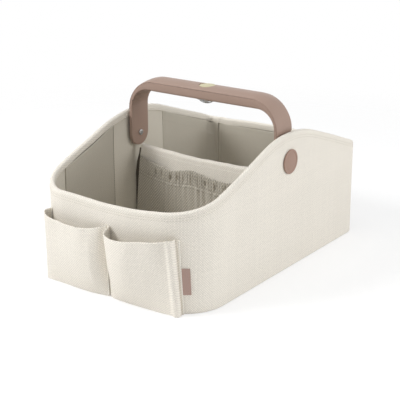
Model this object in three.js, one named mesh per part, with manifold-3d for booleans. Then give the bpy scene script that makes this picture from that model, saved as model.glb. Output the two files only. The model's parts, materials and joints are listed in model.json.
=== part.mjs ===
// A soft-sided nursery caddy: cloth over stiff boards, two front pockets, a lift-out divider, and a folding
// carry handle with a small light. Millimetres. X runs across the caddy, Y along it from the front (-Y) to
// the back (+Y), and Z up from the floor. The origin is the middle of the base.

import * as THREE from 'three';
import { mergeVertices } from 'three/addons/utils/BufferGeometryUtils.js';
import Module from 'manifold-3d';

const wasm = await Module();
wasm.setup();

// Body
const BODY_WIDTH = 240;
const BODY_LENGTH = 359;
const FRONT_CORNER_RADIUS = 53.3;
const BACK_CORNER_RADIUS = 14.2;
const BACK_SEAM_INSET = 25;
const FRONT_RIM_HEIGHT = 111.9;
const FRONT_RIM_DIP = 2.2;
const BACK_RIM_HEIGHT = 125.5;
const RIM_RIDGE_HEIGHT = 182.2;
const RIM_ROUND = 62;
const RIM_KNEE_INSET = 5.5;
const RIM_KNEE_ROUND = 45;
const FRONT_BOW = 4;
const BACK_LEAN = 4.2;
const LEAN_HEIGHT = 120;

// Cloth, boards and the gap between sewn layers
const GAP = 0.3;
const OUTER_CLOTH = 1.2;
const WALL_BOARD = 2.2;
const LINING = 0.8;
const SLIP_CLOTH = 0.9;
const BASE_CLOTH = 1;
const BASE_BOARD = 3;
const BASE_LINING = 0.8;
const HEM_DEPTH = 8;
const HEM_CLOTH = 1;

// Slip pockets on the inner walls
const FRONT_SLIP_START = 36;
const REAR_SLIP_START = 69;
const SLIP_SIDE_MARGIN = 2;

// Front pockets
const POCKET_CLOTH = 1.2;
const POCKET_HEIGHT = 84;
const POCKET_DEPTH = 18;
const POCKET_BELLY = 1.5;
const POCKET_FOOT = 0.5;
const POCKET_FLOOR_CLEARANCE = 0.2;
const POCKET_SEAM_ANGLE = THREE.MathUtils.degToRad(34.9);

// Label tab
const LABEL_WIDTH = 9.1;
const LABEL_HEIGHT = 30.3;
const LABEL_THICKNESS = 1;
const LABEL_FOOT = 24.4;

// Handle
const PIVOT_Y = 9.8;
const PIVOT_HEIGHT = 137.9;
const LEG_SIDE_GAP = 8.5;
const LEG_THICKNESS = 4.5;
const HANDLE_WIDTH = 33.5;
const GRIP_UNDERSIDE = 198.9;
const GRIP_THICKNESS = 16;
const HANDLE_OUTER_RADIUS = 42;
const HANDLE_INNER_RADIUS = 24.5;
const CROWN_DROP = 3.5;
const PARTING_SHARE = 0.69;
const CAP_FOOT = 155;
const CAP_STEP = 0.6;
const UNDERSIDE_CHAMFER = 2.2;
const LEG_CHAMFER = 0.9;
const CAP_CHAMFER = 1.4;
const PARTING_CHAMFER = 0.2;
const GRIP_FLOOR = 2;
const GRIP_WALL = 2.2;
const RIB_MARGIN = 0.5;
const RIB_THICKNESS = 7.5;
const CAP_ROOF = 2.2;
const CELL_RECESS_WIDTH = 19;

// Pivots
const PIVOT_CAP_RADIUS = 15;
const PIVOT_CAP_THICKNESS = 1.9;
const PIVOT_CAP_DOME = 0.8;
const PIVOT_CAP_EDGE = 1.1;
const POST_RADIUS = 5.2;
const WASHER_RADIUS = 13;
const SCREW_RADIUS = 2;
const SCREW_HEAD_RADIUS = 3.6;
const SCREW_HEAD_HEIGHT = 1.8;
const SCREW_LENGTH = 9.5;
const SCREW_SLOT = 0.8;
const SCREW_SLOT_DEPTH = 0.9;
const SCREW_SLOT_LENGTH = 4.5;

// Divider
const DIVIDER_SIDE_GAP = 16.5;
const DIVIDER_THICKNESS = 8;
const DIVIDER_FLARE = 9.5;
const DIVIDER_FLARE_HEIGHT = 69;
const DIVIDER_TOP = 120.4;
const DIVIDER_SAG = 1.6;
const DIVIDER_BOARD = 3;
const DIVIDER_BOARD_TAPER = 3.6;
const DIVIDER_CLOTH = 1.2;
const STRIP_THICKNESS = 1.4;
const STRIP_END_MARGIN = 13.5;
const STRIP_MARGIN = 1;

// Gathered pocket on the divider
const GATHER_CLOTH = 1;
const GATHER_FOOT = 14;
const GATHER_END_HEIGHT = 108;
const GATHER_DIP = 7;
const GATHER_DEPTH = 9;
const GATHER_WAVE = 0.8;
const GATHER_COUNT = 9;
const GATHER_SIDE_MARGIN = 2.5;
const GATHER_FILL_SHARE = 0.7;
const ELASTIC_END_MARGIN = 11.5;
const ELASTIC_WIDTH = 10;
const ELASTIC_THICKNESS = 0.8;
const ELASTIC_DROP = 3;

// Light in the grip
const BUTTON_RADIUS = 10.2;
const BUTTON_DOME = 0.9;
const BUTTON_PROUD = 0.2;
const BUTTON_FLANGE = 1.4;
const BUTTON_FLANGE_THICKNESS = 1.2;
const BUTTON_STEM_RADIUS = 2.4;
const BUTTON_STEM_FOOT = 11.1;
const SWITCH_SIZE = 6;
const SWITCH_TOP = 10;
const BOARD_UNDERSIDE = 6;
const BOARD_THICKNESS = 1.2;
const BOARD_LENGTH = 52;
const BOARD_END_GAP = 2;
const BOARD_WIDTH = 26;
const BOARD_LEDGE = 2;
const LED_SIZE = 3;
const LED_HEIGHT = 1;
const LED_SPACING = 6;
const LED_COUNT = 3;
const LENS_RADIUS = 12;
const LENS_DROP = 7;
const LENS_WALL = 1.4;
const LENS_FLANGE = 1.5;
const LENS_FLANGE_THICKNESS = 1.2;
const BEZEL_RADIUS = 13.8;
const BEZEL_THICKNESS = 0.8;

// Batteries
const CELL_RADIUS = 5.25;
const CELL_LENGTH = 44.5;
const CELL_TIP_RADIUS = 1.9;
const CELL_TIP_LENGTH = 0.8;
const CELL_ROOM = 2.5;
const CELL_END_ROOM = 6.5;
const CELL_SPACING = 11.2;
const CONTACT_THICKNESS = 0.4;
const CONTACT_SIZE = 7;
const DOOR_LAP = 0.5;
const DOOR_OVERREACH = 2;
const DOOR_WIDTH = 23;
const DOOR_THICKNESS = 1.7;
const DOOR_SCREW_LENGTH = 7;
const SMALL_SCREW_RADIUS = 1.3;
const SMALL_HEAD_RADIUS = 2.3;
const SMALL_HEAD_HEIGHT = 1.1;
const COVER_SCREW_MARGIN = 4.5;
const COVER_SCREW_LENGTH = 11.5;

// Counts of flats and steps
const ROUND_SIDES = 32;
const SMALL_SIDES = 16;
const FRONT_CORNER_STEPS = 9;
const BACK_CORNER_STEPS = 4;
const SIDE_STEPS = 14;
const FRONT_STEPS = 8;
const POCKET_STEPS = 26;
const LABEL_STEPS = 3;
const POCKET_LEVELS = 4;
const GATHER_STEPS = 36;
const GATHER_LEVELS = 4;
const DIVIDER_STEPS = 8;
const HANDLE_CORNER_STEPS = 9;
const CROWN_STEPS = 6;
const DOME_STEPS = 4;
const OVERRUN = 5;

// Sizes worked out from those above
const HALF_WIDTH = BODY_WIDTH / 2;
const HALF_LENGTH = BODY_LENGTH / 2;
const BOARD_INSET = OUTER_CLOTH + GAP;
const LINING_INSET = BOARD_INSET + WALL_BOARD + GAP;
const SLIP_INSET = LINING_INSET + LINING + GAP;
const HEM_INSET = SLIP_INSET + HEM_CLOTH;
const FLOOR_BOARD_Z = BASE_CLOTH + GAP;
const WALL_FOOT = FLOOR_BOARD_Z + BASE_BOARD + GAP;
const FLOOR_TOP = WALL_FOOT + BASE_LINING;
const LEG_OUTER_X = HALF_WIDTH - LEG_SIDE_GAP;
const LEG_INNER_X = LEG_OUTER_X - LEG_THICKNESS;
const GRIP_TOP = GRIP_UNDERSIDE + GRIP_THICKNESS;
const HALF_HANDLE = HANDLE_WIDTH / 2;
const DIVIDER_WIDTH = BODY_WIDTH - 2 * DIVIDER_SIDE_GAP;
const RIB_START = LENS_RADIUS + LENS_FLANGE + RIB_MARGIN;
const RIB_END = RIB_START + RIB_THICKNESS;
const CELL_START = RIB_END + CELL_ROOM;
const CELL_END = CELL_START + CELL_LENGTH;
const BAY_END = CELL_END + CELL_END_ROOM;
const BOARD_END = RIB_START - BOARD_END_GAP;
const DOOR_START = RIB_START + DOOR_LAP;
const DOOR_END = CELL_END + DOOR_OVERREACH;
const DOOR_SCREW_X = (RIB_START + RIB_END) / 2;
const COVER_SCREW_X = BAY_END + COVER_SCREW_MARGIN;
const QUARTER_TURN = Math.PI / 2;

// Materials
const outerCloth = cloth(0xe2ddd1);
const liningCloth = cloth(0xb4aea2);
const gatheredCloth = cloth(0xa9a396);
const elasticCloth = cloth(0xd8d4c8);
const boardMaterial = plastic(0xcfcac0, 0.9);
const handlePlastic = plastic(0x9e8377, 0.55);
const pivotPlastic = plastic(0xab9588, 0.6);
const labelCloth = cloth(0x9b8378);
const buttonPlastic = plastic(0xe6e0a8, 0.45);
const lensPlastic = plastic(0xf2f2ee, 0.2);
const boardGreen = plastic(0x2f6b46, 0.6);
const ledPlastic = plastic(0xf4f0c8, 0.4);
const switchPlastic = plastic(0x2b2b2b, 0.6);
const cellSleeve = plastic(0x3a4a5a, 0.4);
const steel = new THREE.MeshStandardMaterial({ color: 0xb8b8b4, roughness: 0.35, metalness: 1 });
const hookStrip = cloth(0x8b857a);

function cloth(color) {
  return new THREE.MeshStandardMaterial({ color, roughness: 0.95, metalness: 0 });
}

function plastic(color, roughness) {
  return new THREE.MeshStandardMaterial({ color, roughness, metalness: 0 });
}

function mix(from, to, share) {
  return from + (to - from) * share;
}

// Evenly spaced numbers from one value to another, both ends included.
function steps(from, to, count) {
  return Array.from({ length: count + 1 }, (_, i) => mix(from, to, i / count));
}

// A geometry turned inside out if its faces point inwards.
function outward(geometry) {
  const place = geometry.getAttribute('position');
  const index = geometry.getIndex().array;
  const a = new THREE.Vector3();
  const b = new THREE.Vector3();
  const c = new THREE.Vector3();
  let volume = 0;
  for (let i = 0; i < index.length; i += 3) {
    a.fromBufferAttribute(place, index[i]);
    b.fromBufferAttribute(place, index[i + 1]);
    c.fromBufferAttribute(place, index[i + 2]);
    volume += a.dot(b.cross(c));
  }
  if (volume < 0) index.reverse();
  return geometry;
}

// A closed solid skinned over rings of points. Its ends are closed by fans from their middles or by strips
// across them, unless the last ring joins the first.
function loft(rings, { joined = false, close = addFan } = {}) {
  const count = rings[0].length;
  const points = rings.flat();
  const index = [];
  const last = joined ? rings.length : rings.length - 1;
  for (let i = 0; i < last; i += 1) {
    const next = (i + 1) % rings.length;
    for (let j = 0; j < count; j += 1) {
      const k = (j + 1) % count;
      index.push(i * count + j, i * count + k, next * count + k);
      index.push(i * count + j, next * count + k, next * count + j);
    }
  }
  if (!joined) {
    close(points, index, 0, count, true);
    close(points, index, (rings.length - 1) * count, count, false);
  }
  const geometry = new THREE.BufferGeometry();
  geometry.setAttribute('position', new THREE.Float32BufferAttribute(points.flatMap((p) => p.toArray()), 3));
  geometry.setIndex(index);
  return outward(geometry);
}

function addFan(points, index, start, count, reversed) {
  const middle = new THREE.Vector3();
  for (let j = 0; j < count; j += 1) middle.addScaledVector(points[start + j], 1 / count);
  const hub = points.push(middle) - 1;
  for (let j = 0; j < count; j += 1) {
    const a = start + j;
    const b = start + ((j + 1) % count);
    index.push(hub, reversed ? b : a, reversed ? a : b);
  }
}

// Closes an end whose first and last points face each other, and so on towards its middle.
function addStrip(points, index, start, count, reversed) {
  const face = (a, b, c) => index.push(start + a, start + (reversed ? c : b), start + (reversed ? b : c));
  for (let low = 0, high = count - 1; low + 1 < high; low += 1, high -= 1) {
    face(low, low + 1, high);
    if (low + 1 < high - 1) face(low + 1, high - 1, high);
  }
}

function toSolid(geometry) {
  const plain = geometry.clone();
  plain.deleteAttribute('normal');
  plain.deleteAttribute('uv');
  const merged = mergeVertices(plain);
  return new wasm.Manifold(new wasm.Mesh({
    numProp: 3,
    vertProperties: new Float32Array(merged.getAttribute('position').array),
    triVerts: new Uint32Array(merged.getIndex().array),
  }));
}

function toGeometry(solid) {
  const mesh = solid.getMesh();
  const geometry = new THREE.BufferGeometry();
  geometry.setAttribute('position', new THREE.BufferAttribute(mesh.vertProperties, 3));
  geometry.setIndex(new THREE.BufferAttribute(mesh.triVerts, 1));
  return geometry;
}

// The geometry with some tools cut away.
function cut(geometry, ...tools) {
  return toGeometry(tools.reduce((solid, tool) => solid.subtract(toSolid(tool)), toSolid(geometry)));
}

function joinAll(...geometries) {
  return toGeometry(geometries.map(toSolid).reduce((whole, solid) => whole.add(solid)));
}

// A box between two corners.
function block(low, high) {
  const size = high.map((value, i) => value - low[i]);
  const box = new THREE.BoxGeometry(...size);
  return box.translate(...high.map((value, i) => (value + low[i]) / 2));
}

// A cylinder along X from one X to another, about a point of the YZ plane.
function barX(radius, fromX, toX, y, z, sides = ROUND_SIDES) {
  const bar = new THREE.CylinderGeometry(radius, radius, Math.abs(toX - fromX), sides);
  return bar.rotateZ(QUARTER_TURN).translate((fromX + toX) / 2, y, z);
}

// A cylinder along Z from one height to another.
function barZ(radius, x, y, fromZ, toZ, sides = ROUND_SIDES) {
  const bar = new THREE.CylinderGeometry(radius, radius, toZ - fromZ, sides);
  return bar.rotateX(QUARTER_TURN).translate(x, y, (fromZ + toZ) / 2);
}

// A solid of revolution about a vertical line, from a profile of [radius, height] pairs.
function turned(profile, x, y, sides = ROUND_SIDES) {
  const lathe = new THREE.LatheGeometry(profile.map(([r, z]) => new THREE.Vector2(r, z)), sides);
  return lathe.rotateX(QUARTER_TURN).translate(x, y, 0);
}

const caddy = new THREE.Group();

function add(name, geometry, material, parent = caddy) {
  const mesh = new THREE.Mesh(geometry, material);
  mesh.name = name;
  parent.add(mesh);
}

// Places on the caddy's plan. Each is a function from an inset, measured inwards from the outer face, to the
// plan point there, so that nested layers keep their distance.
function frontPlace(x) {
  return (inset) => [x, -HALF_LENGTH + inset];
}

function backPlace(x) {
  return (inset) => [x, HALF_LENGTH - inset];
}

function sidePlace(side, y) {
  return (inset) => [side * (HALF_WIDTH - inset), y];
}

// The angle is 0 at the end wall and a quarter turn at the side wall.
function cornerPlace(side, end, radius, angle) {
  return (inset) => [
    side * (HALF_WIDTH - radius + (radius - inset) * Math.sin(angle)),
    end * (HALF_LENGTH - radius + (radius - inset) * Math.cos(angle)),
  ];
}

function frontCorner(side, angle) {
  return cornerPlace(side, -1, FRONT_CORNER_RADIUS, angle);
}

function backCorner(side, angle) {
  return cornerPlace(side, 1, BACK_CORNER_RADIUS, angle);
}

const SIDE_FRONT_Y = -HALF_LENGTH + FRONT_CORNER_RADIUS;
const SIDE_BACK_Y = HALF_LENGTH - BACK_CORNER_RADIUS;
const FRONT_FLAT_X = HALF_WIDTH - FRONT_CORNER_RADIUS;

const frontPlaces = [
  ...steps(QUARTER_TURN, 0, FRONT_CORNER_STEPS).map((angle) => frontCorner(-1, angle)),
  ...steps(-FRONT_FLAT_X, FRONT_FLAT_X, FRONT_STEPS).slice(1, -1).map(frontPlace),
  ...steps(0, QUARTER_TURN, FRONT_CORNER_STEPS).map((angle) => frontCorner(1, angle)),
];

function sidePlaces(side, fromY, toY) {
  return steps(fromY, toY, SIDE_STEPS).map((y) => sidePlace(side, y));
}

// The wrap's two ends meet the back cloth at seams on the back wall.
const BACK_SEAM_X = HALF_WIDTH - BACK_SEAM_INSET;

const wrapPlaces = [
  backPlace(-BACK_SEAM_X),
  ...steps(0, QUARTER_TURN, BACK_CORNER_STEPS).map((angle) => backCorner(-1, angle)),
  ...sidePlaces(-1, SIDE_BACK_Y, SIDE_FRONT_Y).slice(1, -1),
  ...frontPlaces,
  ...sidePlaces(1, SIDE_FRONT_Y, SIDE_BACK_Y).slice(1, -1),
  ...steps(QUARTER_TURN, 0, BACK_CORNER_STEPS).map((angle) => backCorner(1, angle)),
  backPlace(BACK_SEAM_X),
];

const backCornerPlaces = [
  ...steps(QUARTER_TURN, 0, BACK_CORNER_STEPS).map((angle) => backCorner(1, angle)),
  ...steps(QUARTER_TURN, 0, BACK_CORNER_STEPS).reverse().map((angle) => backCorner(-1, angle)),
];

// Height of the rim at a plan point. Seen from the side it is level at the front, climbs to a ridge above the
// pivots and falls to the back, with each change of slope rounded by a parabola. The front sags in its middle.
function rimHeight([x, y]) {
  const kneeY = -HALF_LENGTH + RIM_KNEE_INSET;
  const frontSlope = (RIM_RIDGE_HEIGHT - FRONT_RIM_HEIGHT) / (PIVOT_Y - kneeY);
  const backSlope = (RIM_RIDGE_HEIGHT - BACK_RIM_HEIGHT) / (HALF_LENGTH - PIVOT_Y);
  const climb = Math.max(0, Math.min(y, PIVOT_Y) - kneeY) * frontSlope;
  const straight = FRONT_RIM_HEIGHT + climb - Math.max(0, y - PIVOT_Y) * backSlope;
  const nearRidge = Math.max(0, RIM_ROUND - Math.abs(y - PIVOT_Y));
  const nearKnee = Math.max(0, RIM_KNEE_ROUND - Math.abs(y - kneeY));
  const ridgeLoss = ((frontSlope + backSlope) * nearRidge ** 2) / (4 * RIM_ROUND);
  const kneeGain = (frontSlope * nearKnee ** 2) / (4 * RIM_KNEE_ROUND);
  const sag = y < 0 ? FRONT_RIM_DIP * Math.max(0, 1 - (x / FRONT_FLAT_X) ** 2) : 0;
  return straight - ridgeLoss + kneeGain - sag;
}

// A point of the body. The front wall bows out towards its rim, and the back wall leans out towards the floor.
function bodyPoint([x, y], z) {
  const nearFront = THREE.MathUtils.clamp((SIDE_FRONT_Y - y) / FRONT_CORNER_RADIUS, 0, 1);
  const bow = FRONT_BOW * (z / FRONT_RIM_HEIGHT) * nearFront * (1 - (x / HALF_WIDTH) ** 2);
  const lean = y > 0 ? (BACK_LEAN / HALF_LENGTH) * (1 - z / LEAN_HEIGHT) * y : 0;
  return new THREE.Vector3(x, y - bow + lean, z);
}

// A wall layer that follows places of the plan between two insets, from a height to a drop below the rim.
function wallLayer(places, outerInset, thickness, foot, drop, top = null) {
  return loft(places.map((place) => {
    const outer = place(outerInset);
    const inner = place(outerInset + thickness);
    const head = top === null ? rimHeight(place(0)) - drop : top;
    return [bodyPoint(inner, foot), bodyPoint(outer, foot), bodyPoint(outer, head), bodyPoint(inner, head)];
  }));
}

// A flat layer over the whole plan inside an inset.
function baseLayer(inset, foot, thickness) {
  const rings = [foot, foot + thickness].map((z) => wrapPlaces.map((place) => bodyPoint(place(inset), z)));
  return loft(rings);
}

function buildBase() {
  add('base_cloth', baseLayer(0, 0, BASE_CLOTH), outerCloth);
  add('base_board', baseLayer(BOARD_INSET, FLOOR_BOARD_Z, BASE_BOARD), boardMaterial);
  add('base_lining', baseLayer(SLIP_INSET, WALL_FOOT, BASE_LINING), liningCloth);
  add('base_loop_strip', stripAt(FLOOR_TOP + GAP), hookStrip);
}

// A strip of hook-and-loop tape under the divider.
function stripAt(foot) {
  const halfThick = DIVIDER_THICKNESS / 2 - STRIP_MARGIN;
  const halfLength = DIVIDER_WIDTH / 2 - STRIP_END_MARGIN;
  return block(
    [-halfLength, PIVOT_Y - halfThick, foot],
    [halfLength, PIVOT_Y + halfThick, foot + STRIP_THICKNESS],
  );
}

// The holes that the pivot posts pass through.
const postHoles = [-1, 1].map((side) => barX(
  POST_RADIUS + GAP,
  side * (HALF_WIDTH + OVERRUN),
  side * (HALF_WIDTH - HEM_INSET - OVERRUN),
  PIVOT_Y,
  PIVOT_HEIGHT,
  SMALL_SIDES,
));

function buildWalls() {
  const boardDrop = HEM_CLOTH + GAP;
  add('outer_wrap', cut(wallLayer(wrapPlaces, 0, OUTER_CLOTH, FLOOR_BOARD_Z, 0), ...postHoles), outerCloth);
  const backEdge = BACK_SEAM_X - GAP;
  const backPlaces = [-backEdge, 0, backEdge].map(backPlace);
  add('outer_back', wallLayer(backPlaces, 0, OUTER_CLOTH, FLOOR_BOARD_Z, 0), outerCloth);

  add('board_front', wallLayer(frontPlaces, BOARD_INSET, WALL_BOARD, WALL_FOOT, boardDrop), boardMaterial);
  add('board_back', wallLayer(backCornerPlaces, BOARD_INSET, WALL_BOARD, WALL_FOOT, boardDrop), boardMaterial);
  [['left', -1], ['right', 1]].forEach(([word, side], i) => {
    const places = sidePlaces(side, SIDE_FRONT_Y + GAP, SIDE_BACK_Y - GAP);
    const board = wallLayer(places, BOARD_INSET, WALL_BOARD, WALL_FOOT, boardDrop);
    add(`board_${word}`, cut(board, postHoles[i]), boardMaterial);
  });

  const lining = wallLayer(wrapPlaces, LINING_INSET, LINING, WALL_FOOT, boardDrop);
  add('lining_wrap', cut(lining, ...postHoles), liningCloth);
  add('lining_back', wallLayer(backPlaces, LINING_INSET, LINING, WALL_FOOT, boardDrop), liningCloth);
}

// The turned hem: it lies on the boards' and the lining's top edges, and hangs down inside the lining.
function buildRimFacing() {
  add('rim_facing', loft(wrapPlaces.map((place) => {
    const head = rimHeight(place(0));
    const outer = place(BOARD_INSET);
    const shoulder = place(SLIP_INSET);
    const inner = place(HEM_INSET);
    return [
      bodyPoint(outer, head),
      bodyPoint(inner, head),
      bodyPoint(inner, head - HEM_DEPTH),
      bodyPoint(shoulder, head - HEM_DEPTH),
      bodyPoint(shoulder, head - HEM_CLOTH),
      bodyPoint(outer, head - HEM_CLOTH),
    ];
  }), { joined: true }), outerCloth);
}

// Slip pockets lie flat on the lining, below the hem.
function buildSlipPockets() {
  const drop = HEM_DEPTH + GAP;
  const foot = FLOOR_TOP + GAP;
  [['left', -1], ['right', 1]].forEach(([word, side]) => {
    const front = sidePlaces(side, SIDE_FRONT_Y, -FRONT_SLIP_START);
    add(`side_pocket_front_${word}`, wallLayer(front, SLIP_INSET, SLIP_CLOTH, foot, drop), liningCloth);
    const rear = sidePlaces(side, REAR_SLIP_START, SIDE_BACK_Y - SLIP_SIDE_MARGIN);
    add(`side_pocket_rear_${word}`, wallLayer(rear, SLIP_INSET, SLIP_CLOTH, foot, drop), liningCloth);
  });
  const half = BACK_SEAM_X - SLIP_SIDE_MARGIN;
  const places = [-half, 0, half].map(backPlace);
  add('back_pocket', wallLayer(places, SLIP_INSET, SLIP_CLOTH, foot, drop), liningCloth);
}

// A place on the outer face from the middle of the front, 0, to the pocket's side seam, 1.
const POCKET_RUN = FRONT_FLAT_X + FRONT_CORNER_RADIUS * POCKET_SEAM_ANGLE;

function pocketPlace(side, share) {
  const run = share * POCKET_RUN;
  if (run < FRONT_FLAT_X) return frontPlace(side * run);
  return frontCorner(side, (run - FRONT_FLAT_X) / FRONT_CORNER_RADIUS);
}

// Each row of a pocket: where its mouth stands along the wall, how far it stands off, and its height, and then
// where its foot stands along the wall and how far it stands off. All are shares of the pocket's sizes.
const rightPocketShares = [
  [0.012, 0, 1.05, 0.012, 0],
  [0.037, 0.03, 1.04, 0.037, 0.01],
  [0.062, 0.72, 1.01, 0.062, 0.03],
  [0.113, 0.88, 0.97, 0.12, 0.05],
  [0.284, 1, 0.965, 0.285, 0.06],
  [0.507, 0.95, 1, 0.51, 0.06],
  [0.717, 0.8, 1.04, 0.72, 0.08],
  [0.823, 0.68, 1.055, 0.86, 0.26],
  [0.882, 0.5, 1.06, 0.94, 0.36],
  [0.92, 0.2, 1.05, 0.975, 0.2],
  [0.956, 0, 1.04, 1, 0],
];

const leftPocketShares = [
  [0.012, 0, 1.04, 0.012, 0],
  [0.037, 0.1, 1.04, 0.037, 0.01],
  [0.082, 0.34, 1.02, 0.082, 0.03],
  [0.154, 0.58, 1, 0.154, 0.05],
  [0.288, 0.8, 0.99, 0.288, 0.06],
  [0.504, 0.72, 1, 0.514, 0.06],
  [0.72, 0.62, 1.01, 0.73, 0.1],
  [0.875, 0.58, 1.02, 0.885, 0.4],
  [0.931, 0.5, 1.02, 0.936, 0.5],
  [0.97, 0.25, 1.02, 0.97, 0.3],
  [1, 0, 1.02, 1, 0],
];

// Smooth values between a table's rows, at even steps along the table.
function smoothRows(rows, count) {
  const first = new THREE.CatmullRomCurve3(rows.map((row) => new THREE.Vector3(row[0], row[1], row[2])));
  const second = new THREE.CatmullRomCurve3(rows.map((row) => new THREE.Vector3(row[3], row[4], 0)));
  return steps(0, 1, count).map((t) => {
    const mouth = first.getPoint(t);
    const foot = second.getPoint(t);
    return { mouth, foot };
  });
}

// A front pocket: a sheet that stands off the wall between its side seams, with a floor sewn back to the wall.
function frontPocket(side, shares) {
  const stations = smoothRows(shares, POCKET_STEPS);
  const sewn = GAP + POCKET_CLOTH;
  const outerPoint = ({ mouth, foot }, level) => {
    const along = mix(foot.x, mouth.x, level);
    const belly = (POCKET_BELLY / POCKET_DEPTH) * 4 * level * (1 - level) * Math.min(1, 2 * mouth.y);
    const off = sewn + POCKET_DEPTH * Math.max(0, mix(foot.y, mouth.y, level) + belly);
    const z = mix(POCKET_FOOT, POCKET_HEIGHT * mouth.z, level);
    return bodyPoint(pocketPlace(side, along)(-off), z);
  };
  const levels = steps(0, 1, POCKET_LEVELS);
  const outer = stations.map((station) => levels.map((level) => outerPoint(station, level)));
  const inner = outer.map((column, i) => column.map((point, j) => {
    const before = outer[Math.max(0, i - 1)][j];
    const after = outer[Math.min(outer.length - 1, i + 1)][j];
    const along = after.clone().sub(before).setZ(0).normalize();
    return point.clone().add(new THREE.Vector3(-along.y, along.x, 0).multiplyScalar(side * POCKET_CLOTH));
  }));
  return loft(stations.map(({ foot }, i) => {
    const wall = pocketPlace(side, foot.x)(-POCKET_FLOOR_CLEARANCE);
    const floorTop = inner[i][0].clone().setZ(POCKET_FOOT + POCKET_CLOTH);
    return [
      ...outer[i],
      ...inner[i].slice(1).reverse(),
      floorTop,
      bodyPoint(wall, POCKET_FOOT + POCKET_CLOTH),
      bodyPoint(wall, POCKET_FOOT),
    ];
  }));
}

function buildFrontPockets() {
  add('front_pocket_right', frontPocket(1, rightPocketShares), outerCloth);
  add('front_pocket_left', frontPocket(-1, leftPocketShares), outerCloth);
}

// The right pocket's side seam slants a little. This is its place on the corner at a height.
function seamAngle(z) {
  const [mouthShare, , heightShare, footShare] = rightPocketShares.at(-1);
  const level = (z - POCKET_FOOT) / (POCKET_HEIGHT * heightShare - POCKET_FOOT);
  return (mix(footShare, mouthShare, level) * POCKET_RUN - FRONT_FLAT_X) / FRONT_CORNER_RADIUS;
}

// The label tab lies beside that seam.
function buildLabel() {
  const gap = GAP / FRONT_CORNER_RADIUS;
  const sweep = LABEL_WIDTH / FRONT_CORNER_RADIUS;
  const head = LABEL_FOOT + LABEL_HEIGHT;
  const face = -GAP - LABEL_THICKNESS;
  add('label_tab', loft(steps(gap, gap + sweep, LABEL_STEPS).map((turn) => {
    const low = frontCorner(1, seamAngle(LABEL_FOOT) + turn);
    const high = frontCorner(1, seamAngle(head) + turn);
    return [
      bodyPoint(low(-GAP), LABEL_FOOT),
      bodyPoint(low(face), LABEL_FOOT),
      bodyPoint(high(face), head),
      bodyPoint(high(-GAP), head),
    ];
  })), labelCloth);
}

// One side's pivot, made about the line x = 0 as its outer face and turned to its side of the caddy.
function buildPivots() {
  const capBack = HALF_WIDTH + GAP;
  const capFace = capBack + PIVOT_CAP_THICKNESS;
  const postEnd = LEG_OUTER_X + GAP;
  const headBack = LEG_INNER_X - GAP;
  const bore = SCREW_RADIUS + GAP;
  const boreEnd = headBack + SCREW_LENGTH + GAP;
  const dome = steps(PIVOT_CAP_RADIUS - PIVOT_CAP_EDGE, 0, DOME_STEPS).map((r) => [
    r,
    capFace + PIVOT_CAP_DOME * (1 - (r / (PIVOT_CAP_RADIUS - PIVOT_CAP_EDGE)) ** 2),
  ]);
  const capProfile = [
    [0, boreEnd],
    [bore, boreEnd],
    [bore, postEnd],
    [POST_RADIUS, postEnd],
    [POST_RADIUS, capBack],
    [PIVOT_CAP_RADIUS, capBack],
    [PIVOT_CAP_RADIUS, capFace - PIVOT_CAP_EDGE / 2],
    ...dome,
  ];
  const washerFoot = LEG_OUTER_X + GAP;
  const washerTop = HALF_WIDTH - SLIP_INSET;
  const washerBore = POST_RADIUS + GAP;
  [['left', -1], ['right', 1]].forEach(([word, side]) => {
    const toSide = (geometry) => geometry.rotateY(side * QUARTER_TURN).translate(0, PIVOT_Y, PIVOT_HEIGHT);
    add(`pivot_cap_${word}`, toSide(turned(capProfile, 0, 0)), pivotPlastic);
    const washer = cut(
      barZ(WASHER_RADIUS, 0, 0, washerFoot, washerTop),
      barZ(washerBore, 0, 0, washerFoot - OVERRUN, washerTop + OVERRUN, SMALL_SIDES),
    );
    add(`pivot_washer_${word}`, toSide(washer), pivotPlastic);
    const headFace = headBack - SCREW_HEAD_HEIGHT;
    const shank = barZ(SCREW_RADIUS, 0, 0, headBack - SCREW_HEAD_HEIGHT / 2, headBack + SCREW_LENGTH, SMALL_SIDES);
    const head = barZ(SCREW_HEAD_RADIUS, 0, 0, headFace, headBack, SMALL_SIDES);
    const slotDepth = headFace + SCREW_SLOT_DEPTH;
    const half = SCREW_SLOT_LENGTH / 2;
    const slots = [
      block([-half, -SCREW_SLOT / 2, headFace - OVERRUN], [half, SCREW_SLOT / 2, slotDepth]),
      block([-SCREW_SLOT / 2, -half, headFace - OVERRUN], [SCREW_SLOT / 2, half, slotDepth]),
    ];
    add(`pivot_screw_${word}`, toSide(cut(joinAll(head, shank), ...slots)), steel);
  });
}

const DIVIDER_STRIP_FOOT = FLOOR_TOP + GAP + STRIP_THICKNESS + GAP;
const DIVIDER_FOOT = DIVIDER_STRIP_FOOT + STRIP_THICKNESS + GAP;
const DIVIDER_FRONT_Y = PIVOT_Y - DIVIDER_THICKNESS / 2;

// How far below the flare's start a height lies, as a share of the way to the divider's foot.
function flareShare(z) {
  return (DIVIDER_FLARE_HEIGHT - z) / (DIVIDER_FLARE_HEIGHT - DIVIDER_FOOT);
}

// Half the divider's width at a height. It is widest at its foot, and narrow enough above to pass the handle's legs.
function dividerHalf(z) {
  return DIVIDER_WIDTH / 2 + DIVIDER_FLARE * Math.max(0, flareShare(z));
}

// Half the width of the board inside, whose sides are straight. Only the soft cover flares beyond them.
function dividerBoardHalf(z) {
  return DIVIDER_WIDTH / 2 + DIVIDER_BOARD_TAPER * flareShare(z);
}

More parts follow.
